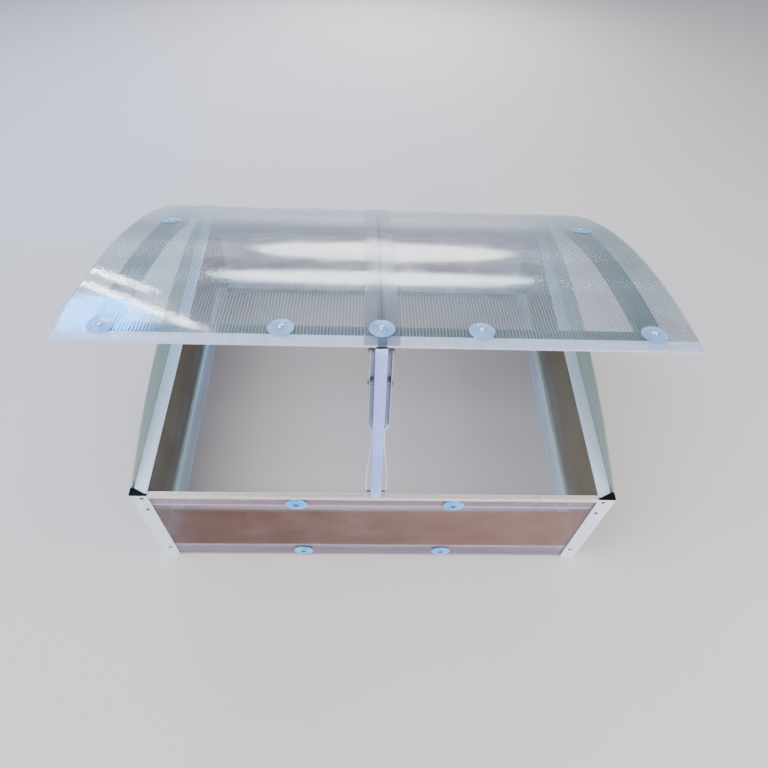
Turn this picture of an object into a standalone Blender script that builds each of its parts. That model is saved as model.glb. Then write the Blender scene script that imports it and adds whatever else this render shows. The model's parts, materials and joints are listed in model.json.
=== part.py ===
"""Cold frame with an arched, hinged roof held open by a folding stay.

A low box of four clear twin-wall sheets stands inside four angle posts and two rings of angle rails.
The roof is two curved sheets joined by a middle profile, on its own frame of rails and ribs.
It turns on two hinges at the back wall, and the stay under its front edge folds up below the middle rib.

Wall coordinates, used for every size below: x = 0 is the middle of the frame, y = 0 is the outer face of
the front posts, z = 0 is the ground. At the end the whole frame is centred on its bounding box.
Units are metres, +Z is up and the front faces -Y.
"""
import math

import bmesh
import bpy
from mathutils import Matrix, Vector

# ---------------------------------------------------------------- driving dimensions
BASE_WIDTH = 1.000          # over the corner posts
BASE_DEPTH = 0.900          # over the corner posts
WALL_HEIGHT = 0.310         # posts and the straight walls
CLEAR = 0.0003              # gap kept between pieces that touch

SHEET = 0.004               # twin-wall sheet thickness
POST_LEG = 0.036            # corner angle, leg width
POST_WALL = 0.002
RAIL_HEIGHT = 0.045         # wall rails, upright leg
RAIL_WIDTH = 0.028          # wall rails, level leg
RAIL_WALL = 0.002
TOP_RAIL_DROP = 0.048       # underside of the front and back top rails, below the wall's top
TRIM_DROP = 0.012           # edge trim over the front and back walls
TRIM_WALL = 0.0015
TRIM_GAP = 0.0004           # between the top rail and the trim's inner leg
TRIM_TOP = 0.002            # how far the trim stands above the wall
CAP_BACK = 0.018            # corner cap, along the side wall
CAP_THICK = 0.003

ROOF_SIDE = 0.040           # roof overhang beyond each side wall
ROOF_LIFT = 0.0055          # roof underside above the wall at its front edge, when shut
ROOF_REAR = 0.015           # roof overhang behind the back posts
ROOF_RISE = 0.070           # height of the arch over its chord
ROOF_STEPS = 36
OPEN_ANGLE = math.radians(24.5)
GABLE_GAP = 0.0025          # between the gable's edge and the shut roof

SKIN = 0.0015               # profile flanges and rib strips
JOINER_WIDTH = 0.060
JOINER_WEB = 0.002
RIB_WIDTH = 0.040
RIB_SET_IN = 0.053          # inner edge of a side rib, in from the side wall's outer face
RIB_DROP = 0.015
ROOF_RAIL_WIDTH = 0.030
ROOF_RAIL_WALL = 0.002
ROOF_RAIL_DROP = 0.012
ROOF_RAIL_SET_BACK = 0.025  # from the roof's front edge along the arch
CENTRE_RIB_WIDTH = 0.015
CENTRE_RIB_THICK = 0.003

WASHER_RADIUS = 0.0225
WASHER_RIM = 0.0012
WASHER_DOME = 0.003
SCREW_HEAD_RADIUS = 0.005
SCREW_HEAD = 0.0022
SHANK_RADIUS = 0.0025
SHANK_HOLE = 0.0032
SHANK_REACH = 0.010         # shank below the outer face of the sheet
WASHER_SET_BACK = 0.040     # front row, along the arch
ROOF_INNER_WASHER_X = 0.170
SIDE_WASHER_T = 0.497       # middle washers, along the arch
WALL_WASHER_X = 0.165
WALL_WASHER_DROP = 0.034    # upper row, below the wall's top
WALL_WASHER_LOW = 0.027

HINGE_X = 0.300
HINGE_WIDTH = 0.060
LEAF_WALL = 0.0015
LEAF_LENGTH = 0.042
KNUCKLE_RADIUS = 0.0045
PIN_RADIUS = 0.0026
PIN_HEAD_RADIUS = 0.0038

STAY_SET_BACK = 0.020       # stay pivot behind the front wall plane, roof shut
STAY_DROP = 0.009           # stay pivot below the wall's top, roof shut
STAY_FOOT_IN = 0.0062       # middle of the stay's foot behind the front wall plane, roof open
STAY_FOOT_UP = 0.0050       # and above the floor of the seat's notch
STAY_FOLD = math.radians(83.7)
STAY_WIDTH = 0.022
STAY_DEPTH = 0.012
STAY_WALL = 0.0012
STAY_TOP = 0.007            # stay tube above its pivot
CHANNEL_WIDTH = 0.040
CHANNEL_WALL = 0.0015
CHANNEL_GAP = 0.0036        # from the channel's end to the straps' tips
CHANNEL_LIP = 0.002         # side walls proud of the tube's face
WEB_NOTCH = 0.011           # back wall starts this far below the pivot
EAR_WALL = 0.002
EAR_RADIUS = 0.0065
EAR_GAP = 0.001             # between the tube's side and the ear
BOLT_RADIUS = 0.0028
BOLT_HOLE = 0.0033
BOLT_HEAD_RADIUS = 0.005
BOLT_HEAD = 0.003
CHANNEL_BOLT_DOWN = 0.070
SEAT_SLOPE = math.radians(50.0)
SEAT_WIDTH = 0.024
NOTCH_DROP = 0.0120         # notch for the seat, below the top of the trim
STRAP_WALL = 0.0018
STRAP_DEPTH = 0.008
STRAP_BOW = 0.0215          # strap's outer reach at its foot
STRAP_WAIST = 0.180         # height of the waist above the foot
STRAP_FLARE = 0.009
STRAP_TIP = 0.014           # strap's flared tip above the waist
STRAP_FOOT = 0.004          # strap end above the foot
CROSS_PIN_RADIUS = 0.002

# ---------------------------------------------------------------- sizes that follow
HALF = BASE_WIDTH / 2
PANEL_OUT = POST_WALL + CLEAR                  # outer face of a sheet, in from the outside
PANEL_IN = PANEL_OUT + SHEET                   # inner face
RAIL_OUT = PANEL_IN + CLEAR
RAIL_IN = RAIL_OUT + RAIL_WIDTH
FRONT_RAIL_BASE = WALL_HEIGHT - TOP_RAIL_DROP
WALL_WASHER_HIGH = WALL_HEIGHT - WALL_WASHER_DROP
TRIM_DEPTH = RAIL_OUT + RAIL_WALL + TRIM_GAP + TRIM_WALL
ROOF_WIDTH = BASE_WIDTH + 2 * ROOF_SIDE
RIB_INNER = HALF - RIB_SET_IN                  # from the middle
ROOF_WASHER_X = RIB_INNER + RIB_WIDTH / 2
ROOF_RAIL_HALF = RIB_INNER + RIB_WIDTH
ROOF_BASE = WALL_HEIGHT + ROOF_LIFT
ROOF_CHORD = BASE_DEPTH + ROOF_REAR
ROOF_RADIUS = (ROOF_CHORD ** 2 / 4 + ROOF_RISE ** 2) / (2 * ROOF_RISE)
ROOF_CENTRE_Y = ROOF_CHORD / 2
ROOF_CENTRE_Z = ROOF_BASE + ROOF_RISE - ROOF_RADIUS
ROOF_HALF_ANGLE = math.asin(ROOF_CHORD / 2 / ROOF_RADIUS)
ROOF_ARC = 2 * ROOF_HALF_ANGLE * ROOF_RADIUS
STRIP_TOP = -CLEAR                             # first layer under the sheet
STRIP_BOTTOM = STRIP_TOP - SKIN
FRAME_TOP = STRIP_BOTTOM - CLEAR               # second layer: rails
FRAME_BOTTOM = FRAME_TOP - ROOF_RAIL_WALL
JOINER_TOP = SHEET + CLEAR + SKIN
BACK_RAIL_T = ROOF_ARC - 0.030 - ROOF_RAIL_WIDTH   # front edge of the back rail on the arch
CAP_ALONG = POST_LEG - 0.0005


def arch(t, offset=0.0):
    """Point of the shut roof's arch: t along its underside from the front edge, offset outwards."""
    angle = -ROOF_HALF_ANGLE + t / ROOF_RADIUS
    reach = ROOF_RADIUS + offset
    return ROOF_CENTRE_Y + reach * math.sin(angle), ROOF_CENTRE_Z + reach * math.cos(angle)


def arch_height(y, offset=0.0):
    """Height of the shut roof's arch over the place y."""
    return ROOF_CENTRE_Z + math.sqrt((ROOF_RADIUS + offset) ** 2 - (y - ROOF_CENTRE_Y) ** 2)


def hinge_line():
    """Pin centre and the slope of the roof leaf, which lies flat under the back rail."""
    middle = BACK_RAIL_T + ROOF_RAIL_WIDTH / 2
    slope = -ROOF_HALF_ANGLE + middle / ROOF_RADIUS
    along = Vector((math.cos(slope), -math.sin(slope)))
    normal = Vector((math.sin(slope), math.cos(slope)))
    start = Vector(arch(middle, FRAME_BOTTOM - CLEAR)) - normal * KNUCKLE_RADIUS
    pin_y = BASE_DEPTH + CLEAR + KNUCKLE_RADIUS
    pin_z = start.y + along.y / along.x * (pin_y - start.x)
    return pin_y, pin_z, slope


PIN_Y, PIN_Z, LEAF_SLOPE = hinge_line()


def opened(y, z):
    """Wall coordinates of a roof point at the open angle."""
    dy, dz = y - PIN_Y, z - PIN_Z
    c, s = math.cos(OPEN_ANGLE), math.sin(OPEN_ANGLE)
    return PIN_Y + dy * c + dz * s, PIN_Z - dy * s + dz * c


STAY_Y, STAY_Z = opened(STAY_SET_BACK, WALL_HEIGHT - STAY_DROP)
SEAT_GAP = 0.0007
SEAT_TOE_Y = TRIM_DEPTH - 0.0005
NOTCH_FLOOR = WALL_HEIGHT + TRIM_TOP - NOTCH_DROP
SEAT_TOE_Z = NOTCH_FLOOR + CLEAR + 0.0008
FOOT_Z = NOTCH_FLOOR + STAY_FOOT_UP
STAY_LENGTH = math.hypot(STAY_Y - STAY_FOOT_IN, STAY_Z - FOOT_Z)
STAY_LEAN = math.asin((STAY_Y - STAY_FOOT_IN) / STAY_LENGTH)
CHANNEL_LENGTH = STAY_LENGTH - STRAP_WAIST - STRAP_TIP - CHANNEL_GAP    # below the pivot


# ---------------------------------------------------------------- scene and materials
for old in list(bpy.data.objects):
    bpy.data.objects.remove(old, do_unlink=True)


def finish(name, colour, roughness, metallic=0.0, alpha=1.0):
    """A Principled material."""
    material = bpy.data.materials.new(name)
    material.use_nodes = True
    shader = material.node_tree.nodes["Principled BSDF"]
    shader.inputs["Base Color"].default_value = (*colour, 1.0)
    shader.inputs["Roughness"].default_value = roughness
    shader.inputs["Metallic"].default_value = metallic
    shader.inputs["Alpha"].default_value = alpha
    return material


CLEAR_SHEET = finish("clear_sheet", (0.80, 0.86, 0.92), 0.15, alpha=0.45)
ANGLE = finish("coated_angle", (0.86, 0.88, 0.90), 0.35, metallic=0.3)
MILL = finish("mill_aluminium", (0.66, 0.70, 0.74), 0.35, metallic=1.0)
JOINER = finish("clear_joiner", (0.72, 0.76, 0.82), 0.20, alpha=0.6)
BLACK = finish("black_plastic", (0.02, 0.02, 0.02), 0.5)
MILKY = finish("milky_washer", (0.80, 0.88, 0.94), 0.30)
STEEL = finish("zinc_steel", (0.55, 0.57, 0.60), 0.35, metallic=1.0)


def empty(name, place, parent=None):
    """A plain-axes empty that carries pieces."""
    holder = bpy.data.objects.new(name, None)
    bpy.context.scene.collection.objects.link(holder)
    holder.location = place
    holder.parent = parent
    return holder


BASE = empty("base_frame", (0, 0, 0))
ROOF = empty("roof_axis", (0, PIN_Y, PIN_Z), BASE)
ROOF.rotation_euler = (-OPEN_ANGLE, 0, 0)
STAY = empty("stay_axis", (0, STAY_Y, STAY_Z), BASE)
STAY.rotation_euler = (-STAY_LEAN, 0, 0)


# ---------------------------------------------------------------- mesh helpers
def add_object(name, shape, material, parent, smooth=False):
    """Turn a bmesh into a named object with its faces pointing out."""
    bmesh.ops.recalc_face_normals(shape, faces=shape.faces)
    mesh = bpy.data.meshes.new(name)
    shape.to_mesh(mesh)
    shape.free()
    mesh.materials.append(material)
    if smooth:
        mesh.shade_smooth()
        mesh.set_sharp_from_angle(angle=math.radians(35))
    thing = bpy.data.objects.new(name, mesh)
    bpy.context.scene.collection.objects.link(thing)
    thing.parent = parent
    return thing


def skin(loops, closed_ends=True):
    """Join equal loops of points into a tube of quads, with flat ends."""
    shape = bmesh.new()
    rings = [[shape.verts.new(p) for p in loop] for loop in loops]
    count = len(rings[0])
    for low, high in zip(rings, rings[1:]):
        for i in range(count):
            j = (i + 1) % count
            shape.faces.new((low[i], low[j], high[j], high[i]))
    if closed_ends:
        shape.faces.new(rings[0])
        shape.faces.new(rings[-1][::-1])
    return shape


def along_x(outline, x0, x1):
    """Extrude a (y, z) outline along X."""
    return skin([[(x, y, z) for y, z in outline] for x in (x0, x1)])


def along_y(outline, y0, y1):
    """Extrude an (x, z) outline along Y."""
    return skin([[(x, y, z) for x, z in outline] for y in (y0, y1)])


def along_z(outline, z0, z1):
    """Extrude an (x, y) outline along Z."""
    return skin([[(x, y, z) for x, y in outline] for z in (z0, z1)])


def along_arch(outline, t0, t1):
    """Carry an (x, offset) outline along the arch, in the roof's own coordinates."""
    steps = max(1, round(ROOF_STEPS * (t1 - t0) / ROOF_ARC))
    loops = []
    for k in range(steps + 1):
        t = t0 + (t1 - t0) * k / steps
        places = [(x, *arch(t, offset)) for x, offset in outline]
        loops.append([(x, y - PIN_Y, z - PIN_Z) for x, y, z in places])
    return skin(loops)


def rectangle(a0, a1, b0, b1):
    """Four corners in order."""
    return [(a0, b0), (a1, b0), (a1, b1), (a0, b1)]


def turned(profile, place, axis, sides=20):
    """Lathe a (radius, height) profile, first and last radius 0, with its height along the axis."""
    turn = Vector(axis).normalized().to_track_quat("Z", "Y").to_matrix().to_4x4()
    shape = bmesh.new()
    ends = [shape.verts.new((0, 0, profile[0][1])), shape.verts.new((0, 0, profile[-1][1]))]
    rings = []
    for radius, height in profile[1:-1]:
        angles = [math.tau * k / sides for k in range(sides)]
        rings.append([shape.verts.new((radius * math.cos(a), radius * math.sin(a), height)) for a in angles])
    for k in range(sides):
        j = (k + 1) % sides
        shape.faces.new((ends[0], rings[0][j], rings[0][k]))
        shape.faces.new((ends[1], rings[-1][k], rings[-1][j]))
        for low, high in zip(rings, rings[1:]):
            shape.faces.new((low[k], low[j], high[j], high[k]))
    bmesh.ops.transform(shape, matrix=Matrix.Translation(place) @ turn, verts=shape.verts)
    return shape


def combine(thing, cutters, operation):
    """Cut or join with closed bodies by exact Booleans, then drop those bodies."""
    for cutter in cutters:
        step = thing.modifiers.new("combine", "BOOLEAN")
        step.operation = operation
        step.solver = "EXACT"
        step.object = cutter
    bpy.context.view_layer.update()
    result = bpy.data.meshes.new_from_object(thing.evaluated_get(bpy.context.evaluated_depsgraph_get()))
    thing.modifiers.clear()
    thing.data = result
    for cutter in cutters:
        bpy.data.objects.remove(cutter, do_unlink=True)


def drill(thing, holes, radius, sides=12):
    """Drill round holes: each hole is a start point and an end point."""
    cutters = []
    for start, end in holes:
        depth = (Vector(end) - Vector(start)).length
        profile = [(0, 0), (radius, 0), (radius, depth), (0, depth)]
        shape = turned(profile, start, Vector(end) - Vector(start), sides)
        cutters.append(add_object("drill", shape, STEEL, thing.parent))
    combine(thing, cutters, "DIFFERENCE")


# ---------------------------------------------------------------- base: sheets, posts and rails
def side_outline():
    """Side sheet: square foot, arched top that stops short of the corner caps."""
    front, back = PANEL_OUT, BASE_DEPTH - PANEL_OUT
    step_front, step_back = CAP_BACK + 0.0005, BASE_DEPTH - CAP_BACK - 0.0005
    count = 24
    curve = [step_front + (step_back - step_front) * k / count for k in range(count + 1)]
    top = [(y, arch_height(y) - GABLE_GAP) for y in curve]
    left = [(front, 0), (front, WALL_HEIGHT), (step_front, WALL_HEIGHT)]
    return left + top + [(step_back, WALL_HEIGHT), (back, WALL_HEIGHT), (back, 0)]


def angle_outline(out, upright, level, corner_z, rise):
    """Angle rail section (distance in from the wall, z); rise is +1 when the upright leg stands up."""
    wall = RAIL_WALL
    return [(out, corner_z), (out + level, corner_z), (out + level, corner_z + rise * wall),
            (out + wall, corner_z + rise * wall), (out + wall, corner_z + rise * upright),
            (out, corner_z + rise * upright)]


def washer_profile(reach):
    """Domed washer with a pan screw; height 0 is the face it sits on, reach is the shank below it."""
    return [(0, -reach), (SHANK_RADIUS, -reach), (SHANK_RADIUS, CLEAR), (WASHER_RADIUS, CLEAR),
            (WASHER_RADIUS, CLEAR + WASHER_RIM), (WASHER_RADIUS * 0.6, CLEAR + WASHER_DOME * 0.85),
            (SCREW_HEAD_RADIUS, CLEAR + WASHER_DOME), (SCREW_HEAD_RADIUS, CLEAR + WASHER_DOME + SCREW_HEAD * 0.5),
            (SCREW_HEAD_RADIUS * 0.6, CLEAR + WASHER_DOME + SCREW_HEAD),
            (0, CLEAR + WASHER_DOME + SCREW_HEAD)]


def wall_washer_places():
    """Name and place of the four washers on the front sheet."""
    names = {(-1, WALL_WASHER_HIGH): "upper_left", (1, WALL_WASHER_HIGH): "upper_right",
             (-1, WALL_WASHER_LOW): "lower_left", (1, WALL_WASHER_LOW): "lower_right"}
    return {name: (side * WALL_WASHER_X, height) for (side, height), name in names.items()}


def cut_notch(thing, start):
    """Cut the notch for the stay's seat into the top of the front wall, from start backwards."""
    half = SEAT_WIDTH / 2 + CLEAR
    box = along_x(rectangle(start, RAIL_IN / 2, NOTCH_FLOOR, WALL_HEIGHT + 0.010), -half, half)
    combine(thing, [add_object("notch", box, STEEL, BASE)], "DIFFERENCE")


def build_base():
    """Sheets, corner posts, rails, trims, caps and washers of the box."""
    places = wall_washer_places()
    holes = [((x, -0.01, z), (x, RAIL_OUT + RAIL_WALL + 0.004, z)) for x, z in places.values()]
    inner = HALF - PANEL_IN - CLEAR
    for name, y0 in (("front", PANEL_OUT), ("back", BASE_DEPTH - PANEL_IN)):
        outline = rectangle(y0, y0 + SHEET, 0, WALL_HEIGHT)
        sheet = add_object(f"{name}_sheet", along_x(outline, -inner, inner), CLEAR_SHEET, BASE)
        if name == "front":
            drill(sheet, holes, SHANK_HOLE)
            cut_notch(sheet, -0.001)
    for name, side in (("left", -1), ("right", 1)):
        edges = (side * (HALF - PANEL_OUT), side * (HALF - PANEL_IN))
        add_object(f"{name}_sheet", along_x(side_outline(), min(edges), max(edges)), CLEAR_SHEET, BASE)

    for end, depth_sign, y0 in (("front", 1, 0), ("back", -1, BASE_DEPTH)):
        def inward(points):
            return [(y0 + depth_sign * d, z) for d, z in points]

        reach = HALF - RAIL_OUT - RAIL_WALL - CLEAR
        bottom = angle_outline(RAIL_OUT, RAIL_HEIGHT, RAIL_WIDTH, RAIL_HEIGHT, -1)
        top = angle_outline(RAIL_OUT, RAIL_HEIGHT, RAIL_WIDTH, FRONT_RAIL_BASE, 1)
        low_rail = add_object(f"{end}_bottom_rail", along_x(inward(bottom), -reach, reach), ANGLE, BASE)
        top_rail = add_object(f"{end}_top_rail", along_x(inward(top), -reach, reach), ANGLE, BASE)
        if end == "front":
            drill(low_rail, [h for h in holes if h[0][2] < WALL_HEIGHT / 2], SHANK_HOLE)
            drill(top_rail, [h for h in holes if h[0][2] > WALL_HEIGHT / 2], SHANK_HOLE)
            cut_notch(top_rail, -0.001)
        high = WALL_HEIGHT + TRIM_TOP
        trim = [(0, high - TRIM_DROP), (TRIM_WALL, high - TRIM_DROP), (TRIM_WALL, high - TRIM_WALL),
                (TRIM_DEPTH - TRIM_WALL, high - TRIM_WALL), (TRIM_DEPTH - TRIM_WALL, high - TRIM_DROP),
                (TRIM_DEPTH, high - TRIM_DROP), (TRIM_DEPTH, high), (0, high)]
        span = HALF - POST_LEG - CLEAR
        edge = add_object(f"{end}_edge_trim", along_x(inward(trim), -span, span), ANGLE, BASE)
        if end == "front":
            cut_notch(edge, TRIM_WALL)

        for name, side in (("left", -1), ("right", 1)):
            def corner(points):
                return [(side * (HALF - dx), y0 + depth_sign * dy) for dx, dy in points]

            post = [(0, 0), (POST_LEG, 0), (POST_LEG, POST_WALL), (POST_WALL, POST_WALL),
                    (POST_WALL, POST_LEG), (0, POST_LEG)]
            add_object(f"{end}_{name}_post", along_z(corner(post), 0, WALL_HEIGHT), ANGLE, BASE)
            cap = [(0, 0), (CAP_ALONG, 0), (CAP_ALONG, 0.003), (0.006, CAP_BACK), (0, CAP_BACK)]
            low = WALL_HEIGHT + CLEAR
            add_object(f"{end}_{name}_cap", along_z(corner(cap), low, low + CAP_THICK), BLACK, BASE)

    for name, side in (("left", -1), ("right", 1)):
        def outward(points):
            return [(side * (HALF - d), z) for d, z in points]

        bottom = angle_outline(RAIL_OUT, RAIL_HEIGHT, RAIL_WIDTH, RAIL_HEIGHT, -1)
        top = angle_outline(RAIL_OUT, RAIL_HEIGHT, RAIL_WIDTH, WALL_HEIGHT, -1)
        end = RAIL_IN + CLEAR
        add_object(f"{name}_bottom_rail", along_y(outward(bottom), end, BASE_DEPTH - end), ANGLE, BASE)
        add_object(f"{name}_top_rail", along_y(outward(top), RAIL_OUT, BASE_DEPTH - RAIL_OUT), ANGLE, BASE)

    reach = PANEL_IN - PANEL_OUT + RAIL_WALL + CLEAR + 0.003
    for name, (x, z) in places.items():
        shape = turned(washer_profile(reach), (x, PANEL_OUT, z), (0, -1, 0))
        add_object(f"wall_washer_{name}", shape, MILKY, BASE, smooth=True)


# ---------------------------------------------------------------- roof
def roof_washer_places():
    """Name, x, distance along the arch and seat offset of each roof washer."""
    row = {"front_left": -ROOF_WASHER_X, "front_mid_left": -ROOF_INNER_WASHER_X, "front_centre": 0.0,
           "front_mid_right": ROOF_INNER_WASHER_X, "front_right": ROOF_WASHER_X}
    places = {name: (x, WASHER_SET_BACK, JOINER_TOP if x == 0 else SHEET) for name, x in row.items()}
    places["side_left"] = (-ROOF_WASHER_X, SIDE_WASHER_T, SHEET)
    places["side_right"] = (ROOF_WASHER_X, SIDE_WASHER_T, SHEET)
    return places


def roof_local(x, t, offset):
    """A roof point in the roof's own coordinates."""
    y, z = arch(t, offset)
    return Vector((x, y - PIN_Y, z - PIN_Z))


def washer_hole(x, t):
    """Start and end of the hole for a roof washer's shank, through every layer."""
    return roof_local(x, t, JOINER_TOP + 0.002), roof_local(x, t, JOINER_TOP - 0.024)


def roof_rail(name, t0, leg_at_front, holes):
    """Angle rail across the roof; its short leg hangs at the front or back edge."""
    t1 = t0 + ROOF_RAIL_WIDTH
    leg0, leg1 = (t0, t0 + ROOF_RAIL_WALL) if leg_at_front else (t1 - ROOF_RAIL_WALL, t1)
    drop = FRAME_TOP - ROOF_RAIL_DROP
    if leg_at_front:
        section = [(t0, FRAME_TOP), (t1, FRAME_TOP), (t1, FRAME_BOTTOM), (leg1, FRAME_BOTTOM),
                   (leg1, drop), (leg0, drop)]
    else:
        section = [(t0, FRAME_TOP), (t1, FRAME_TOP), (t1, drop), (leg0, drop), (leg0, FRAME_BOTTOM),
                   (t0, FRAME_BOTTOM)]
    outline = [arch(t, offset) for t, offset in section]
    outline = [(y - PIN_Y, z - PIN_Z) for y, z in outline]
    rail = add_object(name, along_x(outline, -ROOF_RAIL_HALF, ROOF_RAIL_HALF), MILL, ROOF)
    if holes:
        drill(rail, holes, SHANK_HOLE)


def build_roof():
    """Curved sheets, middle profile, rails, ribs and washers."""
    places = roof_washer_places()
    holes = {name: washer_hole(x, t) for name, (x, t, _) in places.items()}
    front_holes = [hole for name, hole in holes.items() if name.startswith("front")]

    for name, side in (("left", -1), ("right", 1)):
        inner, outer = JOINER_WEB / 2 + CLEAR, ROOF_WIDTH / 2
        edges = sorted((side * inner, side * outer))
        sheet = add_object(f"roof_sheet_{name}", along_arch(rectangle(*edges, 0, SHEET), 0, ROOF_ARC),
                           CLEAR_SHEET, ROOF)
        drill(sheet, [hole for key, hole in holes.items() if key.endswith(name) or key == "front_centre"],
              SHANK_HOLE)
        ribs = sorted((side * RIB_INNER, side * (RIB_INNER + RIB_WIDTH)))
        strip = along_arch(rectangle(*ribs, STRIP_BOTTOM, STRIP_TOP), 0.010, ROOF_ARC - 0.010)
        rib = add_object(f"roof_side_rib_{name}", strip, MILL, ROOF)
        leg = sorted((side * RIB_INNER, side * (RIB_INNER + ROOF_RAIL_WALL)))
        start = ROOF_RAIL_SET_BACK + ROOF_RAIL_WIDTH + 0.002
        web = along_arch(rectangle(*leg, STRIP_TOP - RIB_DROP, STRIP_BOTTOM + SKIN / 2), start,
                         BACK_RAIL_T - 0.002)
        combine(rib, [add_object("rib_leg", web, MILL, ROOF)], "UNION")
        drill(rib, [holes[f"front_{name}"], holes[f"side_{name}"]], SHANK_HOLE)

    wide, thin = JOINER_WIDTH / 2, JOINER_WEB / 2
    section = [(-wide, STRIP_BOTTOM), (wide, STRIP_BOTTOM), (wide, STRIP_TOP), (thin, STRIP_TOP),
               (thin, SHEET + CLEAR), (wide, SHEET + CLEAR), (wide, JOINER_TOP), (-wide, JOINER_TOP),
               (-wide, SHEET + CLEAR), (-thin, SHEET + CLEAR), (-thin, STRIP_TOP), (-wide, STRIP_TOP)]
    joiner = add_object("roof_joiner", along_arch(section, 0, ROOF_ARC + 0.004), JOINER, ROOF)
    drill(joiner, [holes["front_centre"]], SHANK_HOLE)

    roof_rail("roof_front_rail", ROOF_RAIL_SET_BACK, False, front_holes)
    roof_rail("roof_back_rail", BACK_RAIL_T, True, [])
    half = CENTRE_RIB_WIDTH / 2
    bar = rectangle(-half, half, FRAME_TOP - CENTRE_RIB_THICK, FRAME_TOP)
    first = ROOF_RAIL_SET_BACK + ROOF_RAIL_WIDTH + CLEAR
    add_object("roof_centre_rib", along_arch(bar, first, BACK_RAIL_T - CLEAR), MILL, ROOF)

    for name, (x, t, seat) in places.items():
        axis = roof_local(x, t, 1.0) - roof_local(x, t, 0.0)
        shape = turned(washer_profile(seat + SHANK_REACH), roof_local(x, t, seat), axis)
        add_object(f"roof_washer_{name}", shape, MILKY, ROOF, smooth=True)


# ---------------------------------------------------------------- hinges
def leaf_outline(direction, side):
    """A leaf that ends in a rolled knuckle round the pin, as a (y, z) outline about the pin.

    The plate runs along direction from the knuckle; side is +1 when the knuckle rolls to its left.
    """
    along = Vector(direction).normalized()
    across = Vector((-along.y, along.x)) * side
    inner = KNUCKLE_RADIUS - LEAF_WALL
    count = 14
    sweep = math.radians(298)
    outer_arc, inner_arc = [], []
    for k in range(count + 1):
        turn = sweep * k / count
        ray = across * math.cos(turn) - along * math.sin(turn)
        outer_arc.append(ray * KNUCKLE_RADIUS)
        inner_arc.append(ray * inner)
    tip_out = across * KNUCKLE_RADIUS + along * LEAF_LENGTH
    tip_in = across * inner + along * LEAF_LENGTH
    points = [tip_out] + outer_arc + inner_arc[::-1] + [tip_in]
    return [(p.x, p.y) for p in points]


def build_hinges():
    """Two butt hinges at the top of the back wall."""
    third = HINGE_WIDTH / 3
    for name, x in (("left", -HINGE_X), ("right", HINGE_X)):
        wall = [(PIN_Y + y, PIN_Z + z) for y, z in leaf_outline((0, -1), -1)]
        leaf = add_object(f"hinge_{name}_wall_leaf", along_x(wall, x - HINGE_WIDTH / 2, x + HINGE_WIDTH / 2),
                          STEEL, BASE)
        gap = third / 2 + CLEAR
        slot = along_x(rectangle(PIN_Y - 0.006, PIN_Y + 0.006, PIN_Z - 0.007, PIN_Z + 0.007), x - gap, x + gap)
        combine(leaf, [add_object("slot", slot, STEEL, BASE)], "DIFFERENCE")

        away = (-math.cos(LEAF_SLOPE), math.sin(LEAF_SLOPE))
        roof = leaf_outline(away, -1)
        leaf = add_object(f"hinge_{name}_roof_leaf", along_x(roof, x - HINGE_WIDTH / 2, x + HINGE_WIDTH / 2),
                          STEEL, ROOF)
        slots = []
        for side in (-1, 1):
            ends = sorted((x + side * (third / 2 - CLEAR), x + side * (HINGE_WIDTH / 2 + 0.001)))
            box = along_x(rectangle(-0.0075, 0.0075, -0.007, 0.007), *ends)
            slots.append(add_object("slot", box, STEEL, ROOF))
        combine(leaf, slots, "DIFFERENCE")

        half = HINGE_WIDTH / 2 + CLEAR
        profile = [(0, -half - 0.0015), (PIN_HEAD_RADIUS, -half - 0.0015), (PIN_HEAD_RADIUS, -half),
                   (PIN_RADIUS, -half), (PIN_RADIUS, half), (PIN_HEAD_RADIUS, half),
                   (PIN_HEAD_RADIUS, half + 0.0015), (0, half + 0.0015)]
        pin = turned(profile, (x, PIN_Y, PIN_Z), (1, 0, 0), 16)
        add_object(f"hinge_{name}_pin", pin, STEEL, BASE, smooth=True)


# ---------------------------------------------------------------- stay
def bolt_profile(half):
    """Bolt across the stay with a head and a nut outside the half width."""
    return [(0, -half - BOLT_HEAD), (BOLT_HEAD_RADIUS, -half - BOLT_HEAD), (BOLT_HEAD_RADIUS, -half),
            (BOLT_RADIUS, -half), (BOLT_RADIUS, half), (BOLT_HEAD_RADIUS, half),
            (BOLT_HEAD_RADIUS, half + BOLT_HEAD), (0, half + BOLT_HEAD)]


def build_stay_bracket():
    """Bracket under the roof's front rail: a plate with two ears that hold the stay's bolt."""
    inner = STAY_WIDTH / 2 + EAR_GAP
    outer = inner + EAR_WALL
    pivot_y, pivot_z = STAY_SET_BACK - PIN_Y, WALL_HEIGHT - STAY_DROP - PIN_Z
    plate_top = FRAME_BOTTOM - CLEAR
    t0, t1 = STAY_SET_BACK - 0.010, ROOF_RAIL_SET_BACK + ROOF_RAIL_WIDTH - ROOF_RAIL_WALL - 0.001
    plate = along_arch(rectangle(-outer, outer, plate_top - EAR_WALL, plate_top), t0, t1)
    bracket = add_object("stay_bracket", plate, MILL, ROOF)
    ears = []
    count = 10
    for side in (-1, 1):
        low = [(pivot_y + EAR_RADIUS * math.cos(a), pivot_z + EAR_RADIUS * math.sin(a))
               for a in (math.pi * (1 + k / count) for k in range(count + 1))]
        middle = plate_top - EAR_WALL / 2
        ear_top = [(y, arch_height(y + PIN_Y, middle) - PIN_Z) for y in (low[-1][0], low[0][0])]
        ends = sorted((side * inner, side * outer))
        ears.append(add_object("ear", along_x(low + ear_top, *ends), MILL, ROOF))
    combine(bracket, ears, "UNION")
    reach = outer + 0.004
    drill(bracket, [((-reach, pivot_y, pivot_z), (reach, pivot_y, pivot_z))], BOLT_HOLE)
    drill(bracket, [washer_hole(0, WASHER_SET_BACK)], SHANK_HOLE)


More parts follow.
